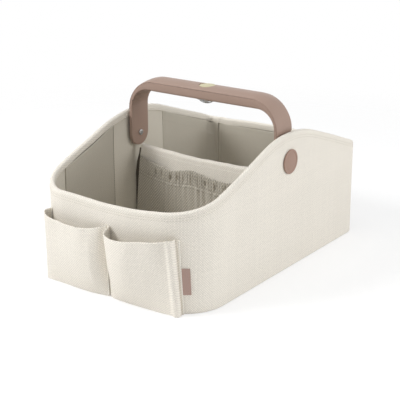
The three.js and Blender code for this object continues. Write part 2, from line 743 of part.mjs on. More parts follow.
// A round-topped slab across the caddy, inset at its sides, from the divider's foot up to a drop below its top
// edge, which sags a little between its ends.
function dividerSlab(half, inset, thickness, foot, drop) {
  const radius = thickness / 2;
  return loft(steps(-1, 1, DIVIDER_STEPS).map((share) => {
    const centre = DIVIDER_TOP - DIVIDER_SAG * (1 - share ** 2) - drop - radius;
    const at = (across, z) => new THREE.Vector3(share * (half(z) - inset), PIVOT_Y + across, z);
    return [
      at(radius, foot),
      at(radius, DIVIDER_FLARE_HEIGHT),
      ...steps(0, Math.PI, DOME_STEPS).map((angle) => at(radius * Math.cos(angle), centre + radius * Math.sin(angle))),
      at(-radius, DIVIDER_FLARE_HEIGHT),
      at(-radius, foot),
    ];
  }), { close: addStrip });
}

// A point of the gathered sheet, from a share of its half width and of its height. It hangs off the divider's
// face between its side seams, most at its mouth.
function gatheredPoint(share, level, offset) {
  const inside = 1 - share ** 4;
  const z = mix(GATHER_FOOT, GATHER_END_HEIGHT - GATHER_DIP * inside, level);
  const wave = GATHER_WAVE * Math.cos(Math.PI * GATHER_COUNT * share) * level;
  const off = GAP + offset + inside * (GATHER_DEPTH * level ** GATHER_FILL_SHARE + wave);
  return new THREE.Vector3(share * (dividerHalf(z) - GATHER_SIDE_MARGIN), DIVIDER_FRONT_Y - off, z);
}

// Part of that sheet, or of a layer that follows it.
function gatheredLayer(halfShare, fromLevel, toLevel, levelCount, offset, thickness) {
  const levels = steps(fromLevel, toLevel, levelCount);
  return loft(steps(-halfShare, halfShare, GATHER_STEPS).map((share) => [
    ...levels.map((level) => gatheredPoint(share, level, offset + thickness)),
    ...levels.map((level) => gatheredPoint(share, level, offset)).reverse(),
  ]), { close: addStrip });
}

function buildDivider() {
  const sleeve = dividerSlab(dividerHalf, 0, DIVIDER_THICKNESS, DIVIDER_FOOT, 0);
  const room = DIVIDER_THICKNESS - 2 * DIVIDER_CLOTH;
  const hollow = dividerSlab(dividerHalf, DIVIDER_CLOTH, room, DIVIDER_FOOT - OVERRUN, DIVIDER_CLOTH);
  add('divider_cover', cut(sleeve, hollow), outerCloth);
  const coreInset = DIVIDER_CLOTH + GAP;
  const board = dividerSlab(dividerBoardHalf, coreInset, DIVIDER_BOARD, DIVIDER_FOOT, coreInset);
  add('divider_board', board, boardMaterial);
  add('divider_hook_strip', stripAt(DIVIDER_STRIP_FOOT), hookStrip);
  add('divider_pocket', gatheredLayer(1, 0, 1, GATHER_LEVELS, 0, GATHER_CLOTH), gatheredCloth);
  const pocketHeight = GATHER_END_HEIGHT - GATHER_DIP - GATHER_FOOT;
  const top = 1 - ELASTIC_DROP / pocketHeight;
  const bottom = top - ELASTIC_WIDTH / pocketHeight;
  const elasticShare = 1 - (2 * ELASTIC_END_MARGIN) / DIVIDER_WIDTH;
  const behind = -GAP - ELASTIC_THICKNESS;
  add('pocket_elastic', gatheredLayer(elasticShare, bottom, top, 1, behind, ELASTIC_THICKNESS), elasticCloth);
}

// The handle's arch, seen along the caddy: at each station, the middle of its inner face and of its outer face.
function archSide() {
  const innerX = LEG_INNER_X - HANDLE_INNER_RADIUS;
  const innerZ = GRIP_UNDERSIDE - HANDLE_INNER_RADIUS;
  const outerX = LEG_OUTER_X - HANDLE_OUTER_RADIUS;
  const outerZ = GRIP_TOP - HANDLE_OUTER_RADIUS;
  const leg = (z) => ({ inner: [LEG_INNER_X, z], outer: [LEG_OUTER_X, z] });
  const corner = steps(0, QUARTER_TURN, HANDLE_CORNER_STEPS).map((angle) => ({
    inner: [innerX + HANDLE_INNER_RADIUS * Math.cos(angle), innerZ + HANDLE_INNER_RADIUS * Math.sin(angle)],
    outer: [outerX + HANDLE_OUTER_RADIUS * Math.cos(angle), outerZ + HANDLE_OUTER_RADIUS * Math.sin(angle)],
  }));
  return { foot: [leg(PIVOT_HEIGHT), leg(CAP_FOOT)], upper: [leg(CAP_FOOT + CAP_STEP), ...corner] };
}

// The other side of a list of stations, so that the whole runs from one side of the arch to the other.
function mirrored(stations) {
  return stations.map(({ inner, outer }) => ({ inner: [-inner[0], inner[1]], outer: [-outer[0], outer[1]] }));
}

function thicknessAt({ inner, outer }) {
  return Math.hypot(outer[0] - inner[0], outer[1] - inner[1]);
}

// A point of the handle: across its width, and at a depth out from its inner face.
function handlePoint(station, across, depth) {
  const share = depth / thicknessAt(station);
  return new THREE.Vector3(
    mix(station.inner[0], station.outer[0], share),
    PIVOT_Y + across,
    mix(station.inner[1], station.outer[1], share),
  );
}

// How far the outer face has dropped at a distance from its middle line. The grip is crowned, the legs flat.
function crownDrop(station, across) {
  const fullness = (thicknessAt(station) - LEG_THICKNESS) / (GRIP_THICKNESS - LEG_THICKNESS);
  return CROWN_DROP * fullness * (across / HALF_HANDLE) ** 2;
}

// A ring of the shell: a bar with chamfered edges, as deep as the parting line or as the whole leg.
function shellRing(station, depth, topChamfer) {
  const share = thicknessAt(station) / GRIP_THICKNESS;
  const low = mix(LEG_CHAMFER, UNDERSIDE_CHAMFER, share);
  const outline = [
    [-HALF_HANDLE + low, 0],
    [HALF_HANDLE - low, 0],
    [HALF_HANDLE, low],
    [HALF_HANDLE, depth - topChamfer],
    [HALF_HANDLE - topChamfer, depth],
    [-HALF_HANDLE + topChamfer, depth],
    [-HALF_HANDLE, depth - topChamfer],
    [-HALF_HANDLE, low],
  ];
  return outline.map(([across, at]) => handlePoint(station, across, at));
}

// A ring of the cap, from the parting line to the crowned outer face.
function capRing(station) {
  const thickness = thicknessAt(station);
  const foot = thickness * PARTING_SHARE + GAP;
  const edge = Math.min(CAP_CHAMFER, (thickness - foot) / 2);
  const crown = steps(HALF_HANDLE - edge, -HALF_HANDLE + edge, CROWN_STEPS).map((across) => [
    across,
    thickness - crownDrop(station, across),
  ]);
  const side = thickness - crownDrop(station, HALF_HANDLE - edge) - edge;
  const outline = [[-HALF_HANDLE, foot], [HALF_HANDLE, foot], [HALF_HANDLE, side], ...crown, [-HALF_HANDLE, side]];
  return outline.map(([across, at]) => handlePoint(station, across, at));
}

// A box of the grip: along it, half as wide as given to each side, and between two depths.
function gripBlock(fromX, toX, halfAcross, low, high) {
  return block(
    [fromX, PIVOT_Y - halfAcross, GRIP_UNDERSIDE + low],
    [toX, PIVOT_Y + halfAcross, GRIP_UNDERSIDE + high],
  );
}

// A round piece or hole of the grip about its middle line, between two depths.
function gripRound(radius, x, low, high, sides = ROUND_SIDES) {
  return barZ(radius, x, PIVOT_Y, GRIP_UNDERSIDE + low, GRIP_UNDERSIDE + high, sides);
}

// A leg's round end about the pivot, with the leg's chamfers.
function legEnd(side) {
  const profile = [
    [0, LEG_INNER_X],
    [HALF_HANDLE - LEG_CHAMFER, LEG_INNER_X],
    [HALF_HANDLE, LEG_INNER_X + LEG_CHAMFER],
    [HALF_HANDLE, LEG_OUTER_X - LEG_CHAMFER],
    [HALF_HANDLE - LEG_CHAMFER, LEG_OUTER_X],
    [0, LEG_OUTER_X],
  ];
  return turned(profile, 0, 0).rotateY(side * QUARTER_TURN).translate(0, PIVOT_Y, PIVOT_HEIGHT);
}

// A screw along Z with its head at its low end.
function smallScrew(x, headZ, length) {
  const shankFoot = headZ + SMALL_HEAD_HEIGHT / 2;
  return joinAll(
    barZ(SMALL_HEAD_RADIUS, x, PIVOT_Y, headZ, headZ + SMALL_HEAD_HEIGHT, SMALL_SIDES),
    barZ(SMALL_SCREW_RADIUS, x, PIVOT_Y, shankFoot, headZ + length, SMALL_SIDES),
  );
}

// The hole for such a screw, with a sink for its head.
function smallScrewHole(x, headZ, length) {
  return joinAll(
    barZ(SMALL_HEAD_RADIUS + GAP, x, PIVOT_Y, headZ - OVERRUN, headZ + SMALL_HEAD_HEIGHT + GAP, SMALL_SIDES),
    barZ(SMALL_SCREW_RADIUS + GAP, x, PIVOT_Y, headZ, headZ + length + GAP, SMALL_SIDES),
  );
}

const handle = new THREE.Group();
caddy.add(handle);

const SCREW_SINK = GRIP_UNDERSIDE + GAP;

function buildHandle() {
  const { foot, upper } = archSide();
  const leg = (station) => shellRing(station, thicknessAt(station), LEG_CHAMFER);
  const grip = (station) => shellRing(station, thicknessAt(station) * PARTING_SHARE, PARTING_CHAMFER);
  const right = [...foot.map(leg), ...upper.map(grip)];
  const left = [...mirrored(foot).map(leg), ...mirrored(upper).map(grip)];
  const arch = joinAll(loft([...left, ...right.reverse()]), legEnd(-1), legEnd(1));

  const bayHalf = HALF_HANDLE - GRIP_WALL;
  const ledge = BOARD_UNDERSIDE - GAP;
  const underBay = gripBlock(-BAY_END, RIB_START, BOARD_WIDTH / 2 - BOARD_LEDGE, GRIP_FLOOR, ledge);
  const boardBay = gripBlock(-BAY_END, RIB_START, bayHalf, ledge, GRIP_THICKNESS + OVERRUN);
  const lensSeat = gripRound(LENS_RADIUS + LENS_FLANGE + GAP, 0, GRIP_FLOOR, ledge);
  const cellBay = gripBlock(RIB_END, BAY_END, bayHalf, GRIP_FLOOR, GRIP_THICKNESS + OVERRUN);
  const doorHole = gripBlock(DOOR_START - GAP, DOOR_END + GAP, DOOR_WIDTH / 2 + GAP, -OVERRUN, GRIP_FLOOR);
  const lensHole = gripRound(LENS_RADIUS + GAP, 0, -OVERRUN, GRIP_FLOOR + GAP);
  const pivotBores = [-1, 1].map((side) => barX(
    SCREW_RADIUS + GAP,
    side * (LEG_INNER_X - OVERRUN),
    side * (LEG_OUTER_X + OVERRUN),
    PIVOT_Y,
    PIVOT_HEIGHT,
    SMALL_SIDES,
  ));
  const coverHoles = [-1, 1].map((side) => smallScrewHole(side * COVER_SCREW_X, SCREW_SINK, COVER_SCREW_LENGTH));
  const doorScrewHole = smallScrewHole(DOOR_SCREW_X, SCREW_SINK, DOOR_SCREW_LENGTH);
  const holes = [underBay, boardBay, lensSeat, cellBay, doorHole, lensHole, ...pivotBores, ...coverHoles, doorScrewHole];
  add('handle_shell', cut(arch, ...holes), handlePlastic, handle);

  const cap = loft([...mirrored(upper), ...upper.reverse()].map(capRing));
  const buttonHole = gripRound(BUTTON_RADIUS + GAP, 0, 0, GRIP_THICKNESS + OVERRUN);
  const flangeRecess = gripRound(BUTTON_RADIUS + BUTTON_FLANGE + GAP, 0, 0, GRIP_THICKNESS - CAP_ROOF - GAP);
  const cellRecess = gripBlock(RIB_END, BAY_END, CELL_RECESS_WIDTH / 2, 0, GRIP_THICKNESS - CAP_ROOF);
  add('handle_cap', cut(cap, buttonHole, flangeRecess, cellRecess, ...coverHoles), handlePlastic, handle);

  [['left', -1], ['right', 1]].forEach(([word, side]) => {
    add(`cover_screw_${word}`, smallScrew(side * COVER_SCREW_X, SCREW_SINK, COVER_SCREW_LENGTH), steel, handle);
  });
}

// The dome under the grip, hollow and open above, with a flange that lies on the grip's floor.
function buildLens() {
  const foot = GRIP_UNDERSIDE;
  const flangeFoot = foot + GRIP_FLOOR + GAP;
  const flangeTop = flangeFoot + LENS_FLANGE_THICKNESS;
  const dome = (radius, drop) => steps(0, 1, DOME_STEPS).map((share) => [
    radius * Math.sin(share * QUARTER_TURN),
    foot - drop * Math.cos(share * QUARTER_TURN),
  ]);
  const inner = dome(LENS_RADIUS - LENS_WALL, LENS_DROP - LENS_WALL);
  const profile = [
    ...dome(LENS_RADIUS, LENS_DROP),
    [LENS_RADIUS, flangeFoot],
    [LENS_RADIUS + LENS_FLANGE, flangeFoot],
    [LENS_RADIUS + LENS_FLANGE, flangeTop],
    [LENS_RADIUS - LENS_WALL, flangeTop],
    ...inner.reverse(),
  ];
  add('light_lens', turned(profile, 0, PIVOT_Y), lensPlastic, handle);
  const bezel = cut(
    gripRound(BEZEL_RADIUS, 0, -GAP - BEZEL_THICKNESS, -GAP),
    gripRound(LENS_RADIUS + GAP, 0, -OVERRUN, OVERRUN),
  );
  add('lens_bezel', bezel, steel, handle);
}

// The circuit board lies on ledges along the grip's bay, with its switch above and its lamps below.
function buildBoard() {
  const top = BOARD_UNDERSIDE + BOARD_THICKNESS;
  add('light_board', gripBlock(BOARD_END - BOARD_LENGTH, BOARD_END, BOARD_WIDTH / 2, BOARD_UNDERSIDE, top), boardGreen, handle);
  const half = SWITCH_SIZE / 2;
  add('button_switch', gripBlock(-half, half, half, top + GAP, SWITCH_TOP), switchPlastic, handle);
  const ledTop = BOARD_UNDERSIDE - GAP;
  const reach = LED_SIZE / 2;
  for (let i = 0; i < LED_COUNT; i += 1) {
    const x = (i - (LED_COUNT - 1) / 2) * LED_SPACING;
    add(`light_led_${i + 1}`, gripBlock(x - reach, x + reach, reach, ledTop - LED_HEIGHT, ledTop), ledPlastic, handle);
  }
}

function buildButton() {
  const flangeTop = GRIP_THICKNESS - CAP_ROOF - 2 * GAP;
  const flangeFoot = flangeTop - BUTTON_FLANGE_THICKNESS;
  const crown = GRIP_THICKNESS + BUTTON_PROUD;
  const dome = steps(1, 0, DOME_STEPS).map((share) => [BUTTON_RADIUS * share, crown - BUTTON_DOME * share ** 2]);
  const profile = [
    [0, BUTTON_STEM_FOOT],
    [BUTTON_STEM_RADIUS, BUTTON_STEM_FOOT],
    [BUTTON_STEM_RADIUS, flangeFoot],
    [BUTTON_RADIUS + BUTTON_FLANGE, flangeFoot],
    [BUTTON_RADIUS + BUTTON_FLANGE, flangeTop],
    [BUTTON_RADIUS, flangeTop],
    ...dome,
  ];
  const places = profile.map(([radius, depth]) => [radius, GRIP_UNDERSIDE + depth]);
  add('light_button', turned(places, 0, PIVOT_Y), buttonPlastic, handle);
}

// Two cells lie side by side in the grip, over a screwed door, between two contact plates.
function buildBattery() {
  const cellZ = GRIP_UNDERSIDE + GRIP_FLOOR + GAP + CELL_RADIUS;
  const tipStart = CELL_END - CELL_TIP_LENGTH;
  [-1, 1].forEach((side, i) => {
    const y = PIVOT_Y + (side * CELL_SPACING) / 2;
    const body = barX(CELL_RADIUS, CELL_START, tipStart, y, cellZ, SMALL_SIDES);
    const tip = barX(CELL_TIP_RADIUS, tipStart - CELL_TIP_LENGTH, CELL_END, y, cellZ, SMALL_SIDES);
    add(`battery_${i + 1}`, joinAll(body, tip), cellSleeve, handle);
  });
  const halfPlate = (CELL_SPACING + CONTACT_SIZE) / 2;
  [CELL_START - GAP - CONTACT_THICKNESS, CELL_END + GAP].forEach((x, i) => {
    const low = [x, PIVOT_Y - halfPlate, cellZ - CONTACT_SIZE / 2];
    const high = [x + CONTACT_THICKNESS, PIVOT_Y + halfPlate, cellZ + CONTACT_SIZE / 2];
    add(`battery_contact_${i + 1}`, block(low, high), steel, handle);
  });
  const doorPlate = gripBlock(DOOR_START, DOOR_END, DOOR_WIDTH / 2, 0, DOOR_THICKNESS);
  const screwHole = smallScrewHole(DOOR_SCREW_X, SCREW_SINK, DOOR_SCREW_LENGTH);
  add('battery_door', cut(doorPlate, screwHole), handlePlastic, handle);
  add('battery_door_screw', smallScrew(DOOR_SCREW_X, SCREW_SINK, DOOR_SCREW_LENGTH), steel, handle);
}

buildBase();
buildWalls();
buildRimFacing();
buildSlipPockets();
buildFrontPockets();
buildLabel();
buildPivots();
buildDivider();
buildHandle();
buildLens();
buildBoard();
buildButton();
buildBattery();

export default caddy;
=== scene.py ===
"""The looks of a soft-sided nursery caddy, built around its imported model.

Shapes are worked out in millimetres, in the model's frame: X across, Y along from the front pockets to the back,
Z up. Each mesh is turned to metres when it is made.
"""

import json
import math

import bmesh
import bpy
import numpy as np
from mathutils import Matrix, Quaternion, Vector


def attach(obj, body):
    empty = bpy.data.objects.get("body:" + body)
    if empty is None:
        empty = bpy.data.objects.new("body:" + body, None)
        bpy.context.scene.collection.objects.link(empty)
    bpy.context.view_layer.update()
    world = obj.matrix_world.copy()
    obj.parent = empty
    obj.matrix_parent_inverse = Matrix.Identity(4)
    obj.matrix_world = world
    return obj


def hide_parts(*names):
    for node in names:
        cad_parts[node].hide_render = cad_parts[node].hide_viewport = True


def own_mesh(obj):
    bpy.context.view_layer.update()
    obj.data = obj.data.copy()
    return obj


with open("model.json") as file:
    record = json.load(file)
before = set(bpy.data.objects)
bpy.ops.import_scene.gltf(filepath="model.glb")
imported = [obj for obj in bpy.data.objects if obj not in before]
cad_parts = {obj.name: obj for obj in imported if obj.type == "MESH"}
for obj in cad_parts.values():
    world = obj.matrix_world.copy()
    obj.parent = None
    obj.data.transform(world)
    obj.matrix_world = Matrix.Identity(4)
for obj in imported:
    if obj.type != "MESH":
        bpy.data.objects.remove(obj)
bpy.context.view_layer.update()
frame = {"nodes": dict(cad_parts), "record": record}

MM = 0.001
CLOTH_EDGE_DEGREES = 48
HARD_EDGE_DEGREES = 30
MERGE_MM = 0.02

# Camera, at the photograph's viewing angle
PICTURE_SIDE_PX = 400
FOCAL_PX = 1050.8
SENSOR_MM = 36
VIEW_AZIMUTH = math.radians(35.713)
VIEW_ELEVATION = math.radians(18.707)
VIEW_DISTANCE = 1328.6
VIEW_TARGET = Vector((-3.75, 0, 67.45))
VIEW_ROLL = math.radians(0.23)

# Body
BODY_WIDTH = 240
BODY_LENGTH = 359
FRONT_RADIUS = 53.3
BACK_RADIUS = 14.2
BACK_SEAM_INSET = 25
FRONT_RIM_HEIGHT = 111.9
FRONT_RIM_DIP = 2.2
BACK_RIM_HEIGHT = 125.5
RIM_RIDGE_HEIGHT = 182.2
RIM_ROUND = 62
RIM_KNEE_INSET = 5.5
RIM_KNEE_ROUND = 45
FRONT_BOW = 4
BACK_LEAN = 4.2
LEAN_HEIGHT = 120

# How the sewn rim departs from an even one: lifts of its near and far sides, of the front's two corners, of the back
# and of the back's two seams
NEAR_LIFT = 1.5
NEAR_CORNER_LIFT = 1.5
FAR_LIFT = -0.5
FAR_CORNER_LIFT = -1.5
BACK_LIFT = 2.3
SEAM_LIFT = 0.9
CORNER_RUN = 108
CORNER_SPREAD = 42
SIDE_LIFT_START = 20
SIDE_LIFT_END = 90
SIDE_SPREAD = 70
SEAM_LIFT_PAST = 3
SEAM_LIFT_SPREAD = 6

# How far the sewn walls stray from true: waves of (depth, length, rate up the wall, start) that grow with height,
# and a soft fold below the near rim
WALL_WAVES = ((0.55, 31, 0, 0.8), (0.35, 17.3, 1 / 60, 0), (0.25, 9.1, -1 / 23, 1.7))
WAVES_FOOT = 5
WAVES_HEAD = 110
FOLD_RUN = 345
FOLD_SPREAD = 9
FOLD_DEPTH = 1.3
FOLD_FOOT = 95
FOLD_HEAD = 135

# Layers of the walls, as insets from the outer face and drops below the rim
GAP = 0.3
OUTER_CLOTH = 1.2
BOARD_INSET = 1.5
BOARD_THICKNESS = 2.2
BOARD_DROP = 2.3
LINING_INSET = 4
LINING_CLOTH = 0.8
LINING_DROP = 3
HEM_INSET = 6.1
HEM_DEPTH = 8.2
FOOT_RADIUS = 2.2
FOOT_LIFT = 0.1
FOOT_TURN_IN = 8
SEAM_ROLL = 0.9
SEAM_ROLL_SPREAD = 1.3
CLOTH_STEP = 2.6
BOARD_STEP = 5

# Layers of the base
BASE_CLOTH = 1
BASE_CLOTH_INSET = 2.5
BASE_CLOTH_ROUND = 0.5
BASE_LINING_SLACK = 0.4
BASE_LINING_ROUND = 0.4
FLOOR_BOARD_TOP = 4.3
FLOOR_TOP = 5.4
PLATE_SIDES = 440
PLATE_RINGS = 14
PLATE_EDGE_RINGS = 7

# Slip pockets on the lining
SLIP_INSET = 5.1
SLIP_CLOTH = 0.9
FRONT_SLIP_START = 36
REAR_SLIP_START = 69
SLIP_SIDE_MARGIN = 2
SLIP_GAPE = 1.6
SLIP_EDGE_SUNK = 0.8
SLIP_EDGE_WIDTH = 5
SLIP_DROP = 0.5
SLIP_MOUTH_DIP = 0.9
SLIP_HEM = 13
SLIP_HEM_RAISED = 0.1
CORNER_CUT = 4.5
CORNER_CUT_SPREAD = 22

# Sewing: a row's spacing, and its stitches' length, width and height
RIM_STITCHES = (3.4, 2.4, 0.55, 0.45)
# The slip pockets' row is painted shade along their edges
SLIP_SHADE_STITCHES = (2.5, 2.3, 0.8, 0.5)
POCKET_STITCHES = (3.1, 2.5, 1, 0.7)
CASING_STITCHES = (2.8, 2, 0.5, 0.4)
STITCH_SIDES = 6
STITCH_ROWS = 4
RIM_ROW_MARGIN = 1.5
BACK_ROW_MARGIN = 1.8
RIM_ROW_DROPS = (6.2, 9.2)
HEM_ROW_DROP = 6.4
SEAM_ROW_SHIFTS = (-2.2, 2.2)

# Front pockets, whose waves are given as the walls' are, and label tab
POCKET_CLOTH = 1.2
POCKET_HEIGHT = 84
POCKET_DEPTH = 18
POCKET_FOOT = 0.5
POCKET_FLOOR_OFF = 0.4
POCKET_HEM_RAISED = 0.3
POCKET_WAVES = ((0.5, 7.3, 2.1, 1), (0.35, 3.9, -3, 0))
POCKET_SEAM_ANGLE = math.radians(34.9)
LABEL_WIDTH = 9.1
LABEL_HEIGHT = 30.3
LABEL_THICKNESS = 1
LABEL_FOOT = 24.4

# Handle and pivots
PIVOT_Y = 9.8
PIVOT_Z = 137.9
LEG_OUTER_X = 111.5
LEG_THICKNESS = 4.5
HANDLE_WIDTH = 33.5
GRIP_UNDERSIDE = 198.9
GRIP_THICKNESS = 16
OUTER_BEND = 42
INNER_BEND = 24.5
CROWN_DROP = 3.5
PARTING_SHARE = 0.69
CAP_FOOT = 155
CAP_STEP = 0.6
UNDERSIDE_CHAMFER = 2.2
LEG_CHAMFER = 0.9
CAP_CHAMFER = 1.4
PARTING_EASE = 0.4
PIVOT_CAP_RADIUS = 15
PIVOT_CAP_THICKNESS = 1.9
PIVOT_CAP_EDGE = 0.9
PIVOT_DISH_RADIUS = 11.9
PIVOT_DISH_DEPTH = 0.45
PIVOT_DISH_RISE = 0.7
PIVOT_BORE = 2.3
PIVOT_BORE_END = 116.5
PIVOT_BOSS = 5.2
WASHER_BORE = 5.5
WASHER_RADIUS = 13
WASHER_EDGE = 0.4
WASHER_SLACK = 0.2
SCREW_HEAD_RADIUS = 3.6
SCREW_HEAD_HEIGHT = 1.8
SCREW_LENGTH = 9.5
SCREW_SHANK = 2
SCREW_SLOT_HALF = 2.25
SCREW_SLOT_DEPTH = 0.9
SCREW_SLOT_SIDE = 0.4

# Light in the grip
GRIP_FLOOR = 2
LENS_RADIUS = 12
LENS_DROP = 7
LENS_WALL = 1.4
LENS_LOBES = 8
LENS_RIPPLE = 1.3
LENS_RIPPLE_AT = 8.5
LENS_RIPPLE_WIDTH = 2.2
LENS_FLANGE = 1.5
LENS_FLANGE_HEIGHT = 1.2
BEZEL_RADIUS = 13.8
BEZEL_TOP = -0.3
BEZEL_FOOT = -1.1
BUTTON_RADIUS = 10.2
BUTTON_RIM = 1.4
BUTTON_RIM_FOOT = 12
BUTTON_RIM_TOP = 13.2
BUTTON_STEM = 2.4
BUTTON_STEM_FOOT = 11.1
BUTTON_PROUD = 0.2
BUTTON_DISH = 0.9
BUTTON_DISH_RADIUS = 9.4
RIB_CLEARANCE = 0.5
RIB_WIDTH = 7.5
CELL_CLEARANCE = 2.5
CELL_LENGTH = 44.5
BAY_SPARE = 6.5
SCREW_PAST_BAY = 4.5
SHELL_WALL = 2.2
LIGHT_BAY_HALF = 11
BAY_STEP = 5.75
BAY_OVERLAP = 0.05
CAP_BAY_HALF = 9.5
DOOR_HALF = 11.5
DOOR_PAST_CELL = 2
DOOR_CORNER = 1.5
DOOR_EDGE = ((0.3, 0), (0, 0.3), (0, 1.4), (0.2, 1.7))  # how far in, and how high
SCREW_SINK_RADIUS = 2.6
SCREW_SINK_DEPTH = 1.7
CUT_PAST = 5
LENS_SEAT = LENS_RADIUS + LENS_FLANGE + GAP
RIB_START = LENS_RADIUS + LENS_FLANGE + RIB_CLEARANCE
RIB_END = RIB_START + RIB_WIDTH
CELL_END = RIB_END + CELL_CLEARANCE + CELL_LENGTH
BAY_END = CELL_END + BAY_SPARE
DOOR_START = RIB_START + RIB_CLEARANCE
DOOR_END = CELL_END + DOOR_PAST_CELL
DOOR_SCREW_X = (RIB_START + RIB_END) / 2
COVER_SCREW_X = BAY_END + SCREW_PAST_BAY

# Divider
DIVIDER_HALF = 103.5
DIVIDER_FLARE = 11
DIVIDER_THICKNESS = 8
DIVIDER_FOOT = 9.4
DIVIDER_TOP = 120.4
DIVIDER_SAG = 1.6
DIVIDER_END_RISE = 3.4
COVER_CLOTH = 0.8
# A dark strip out of each side of the divider: painted shade for the shadowed gap between the divider and the wall
SIDE_SHADE_WIDTH = 4.6
SIDE_SHADE_WIDTH_HIGH = 2.0
SIDE_SHADE_WALL = 113.6
SIDE_SHADE_TUCK = 0.8
SIDE_SHADE_THICKNESS = 0.7
GATHER_CLOTH = 1
GATHER_FOOT = 14
GATHER_END_HEIGHT = 108
GATHER_DIP = 7
GATHER_DEPTH = 9
GATHER_FOLD = 0.9
GATHER_SAGS = ((-0.13, 0.17, 4), (-0.45, 0.13, -2.2), (0.33, 0.2, -2.4))  # share of the half width, spread, rise
RUFFLE = 0.55
GATHER_MARGIN = 2.5
CASING_LEVEL = 0.8
CASING_ROW_GAP = 0.045
CASING_PINCH = 0.8
CASING_CREASES = (  # share of the half width, spread, depth
    (-0.69, 0.016, 2.2), (-0.6, 0.02, 2.0), (-0.46, 0.02, 3.2), (-0.36, 0.016, 2.6), (-0.25, 0.014, 1.6),
    (-0.12, 0.018, 1.8), (0.06, 0.02, 2.4), (0.21, 0.016, 2.0), (0.35, 0.02, 2.6), (0.52, 0.018, 2.2), (0.7, 0.02, 2.4),
)
ELASTIC_THICKNESS = 0.8
TAPE_THICKNESS = 1.4
TAPE_END_MARGIN = 13.5
TAPE_HALF_WIDTH = 3

QUARTER = math.pi / 2
HALF_WIDTH = BODY_WIDTH / 2
HALF_LENGTH = BODY_LENGTH / 2
HALF_HANDLE = HANDLE_WIDTH / 2
LEG_INNER_X = LEG_OUTER_X - LEG_THICKNESS
FRONT_FLAT = HALF_WIDTH - FRONT_RADIUS
SIDE_FRONT_Y = FRONT_RADIUS - HALF_LENGTH
SIDE_BACK_Y = HALF_LENGTH - BACK_RADIUS
BACK_SEAM_X = HALF_WIDTH - BACK_SEAM_INSET
RUN_FRONT_ARC = FRONT_FLAT
RUN_SIDE = RUN_FRONT_ARC + FRONT_RADIUS * QUARTER
RUN_BACK_ARC = RUN_SIDE + BODY_LENGTH - FRONT_RADIUS - BACK_RADIUS
RUN_BACK = RUN_BACK_ARC + BACK_RADIUS * QUARTER
HALF_ROUND = RUN_BACK + HALF_WIDTH - BACK_RADIUS
RUN_SEAM = HALF_ROUND - BACK_SEAM_X
POCKET_RUN = FRONT_FLAT + FRONT_RADIUS * POCKET_SEAM_ANGLE
POCKET_SEWN = GAP + POCKET_CLOTH
LINING_FACE = LINING_INSET + LINING_CLOTH
WALL_FOOT = FLOOR_BOARD_TOP + GAP


# Numbers and arrays

def mix(low, high, share):
    """Straight from low to high as the share goes from 0 to 1."""
    return low + (high - low) * share


def smooth(value, low, high):
    """0 before low, 1 after high, and 3t^2 - 2t^3 between them."""
    t = np.clip((value - low) / (high - low), 0, 1)
    return t * t * (3 - 2 * t)


def hump(value, middle, spread):
    """A bell: exp of minus the squared distance from the middle in spreads."""
    return np.exp(-((value - middle) / spread) ** 2)


def bells(value, table):
    """The sum of bells, each a row of (middle, spread, height)."""
    return sum(height * hump(value, middle, spread) for middle, spread, height in table)


def waves(along, up, table, side=1):
    """The sum of depth * sin(along / length + rate * up + side * start) over the table's rows."""
    return sum(depth * np.sin(along / length + rate * up + side * start) for depth, length, rate, start in table)


def full_turn(count):
    """Even angles round a full turn."""
    return np.arange(count) / count * 2 * math.pi


def stack(*values):
    """Arrays of one shape, or that widen to one, side by side along a new last axis."""
    return np.stack(np.broadcast_arrays(*values), axis=-1).astype(float)


def unit(vectors):
    """Vectors scaled to length 1."""
    return vectors / np.maximum(np.linalg.norm(vectors, axis=-1, keepdims=True), 1e-9)


def spline(rows, at):
    """A Catmull-Rom curve through the table's rows, at shares of its length in rows, for all columns at once."""
    rows = np.asarray(rows, float)
    padded = np.concatenate([2 * rows[:1] - rows[1:2], rows, 2 * rows[-1:] - rows[-2:-1]])
    place = np.clip(np.asarray(at, float), 0, 1) * (len(rows) - 1)
    first = np.minimum(place.astype(int), len(rows) - 2)
    t = (place - first)[..., None]
    p0, p1, p2, p3 = (padded[first + k] for k in range(4))
    bend = (2 * p0 - 5 * p1 + 4 * p2 - p3) * t ** 2 + (3 * p1 - p0 - 3 * p2 + p3) * t ** 3
    return (2 * p1 + (p2 - p0) * t + bend) / 2


# Meshes

def grid(points, join=(False, False), pattern=None):
    """Faces of a two-way grid of points, joined round in either way, with the pattern's places at their corners."""
    rows, columns = points.shape[:2]
    i, j = np.meshgrid(
        np.arange(rows if join[0] else rows - 1),
        np.arange(columns if join[1] else columns - 1),
        indexing="ij",
    )
    steps = ((0, 0), (1, 0), (1, 1), (0, 1))
    faces = np.stack([((i + a) % rows) * columns + (j + b) % columns for a, b in steps], -1)
    if pattern is None:
        pattern = np.zeros((rows, columns, 2))
    wide = np.pad(pattern, ((0, int(join[0])), (0, int(join[1])), (0, 0)), mode="edge")
    places = np.stack([wide[i + a, j + b] for a, b in steps], -2)
    return points.reshape(-1, 3), faces.reshape(-1, 4), places.reshape(-1, 4, 2)


def merge(*parts):
    """Several (points, faces, places) as one."""
    starts = np.cumsum([0] + [len(part[0]) for part in parts[:-1]])
    return (
        np.concatenate([part[0] for part in parts]),
        np.concatenate([part[1] + start for part, start in zip(parts, starts)]),
        np.concatenate([part[2] for part in parts]),
    )


def flipped(part):
    """The same faces seen from the other side."""
    points, faces, places = part
    return points, faces[:, ::-1], places[:, ::-1]


def smoothed(mesh, edge_degrees):
    """Shades a mesh smooth but for edges sharper than an angle."""
    mesh.shade_smooth()
    mesh.set_sharp_from_angle(angle=math.radians(edge_degrees))


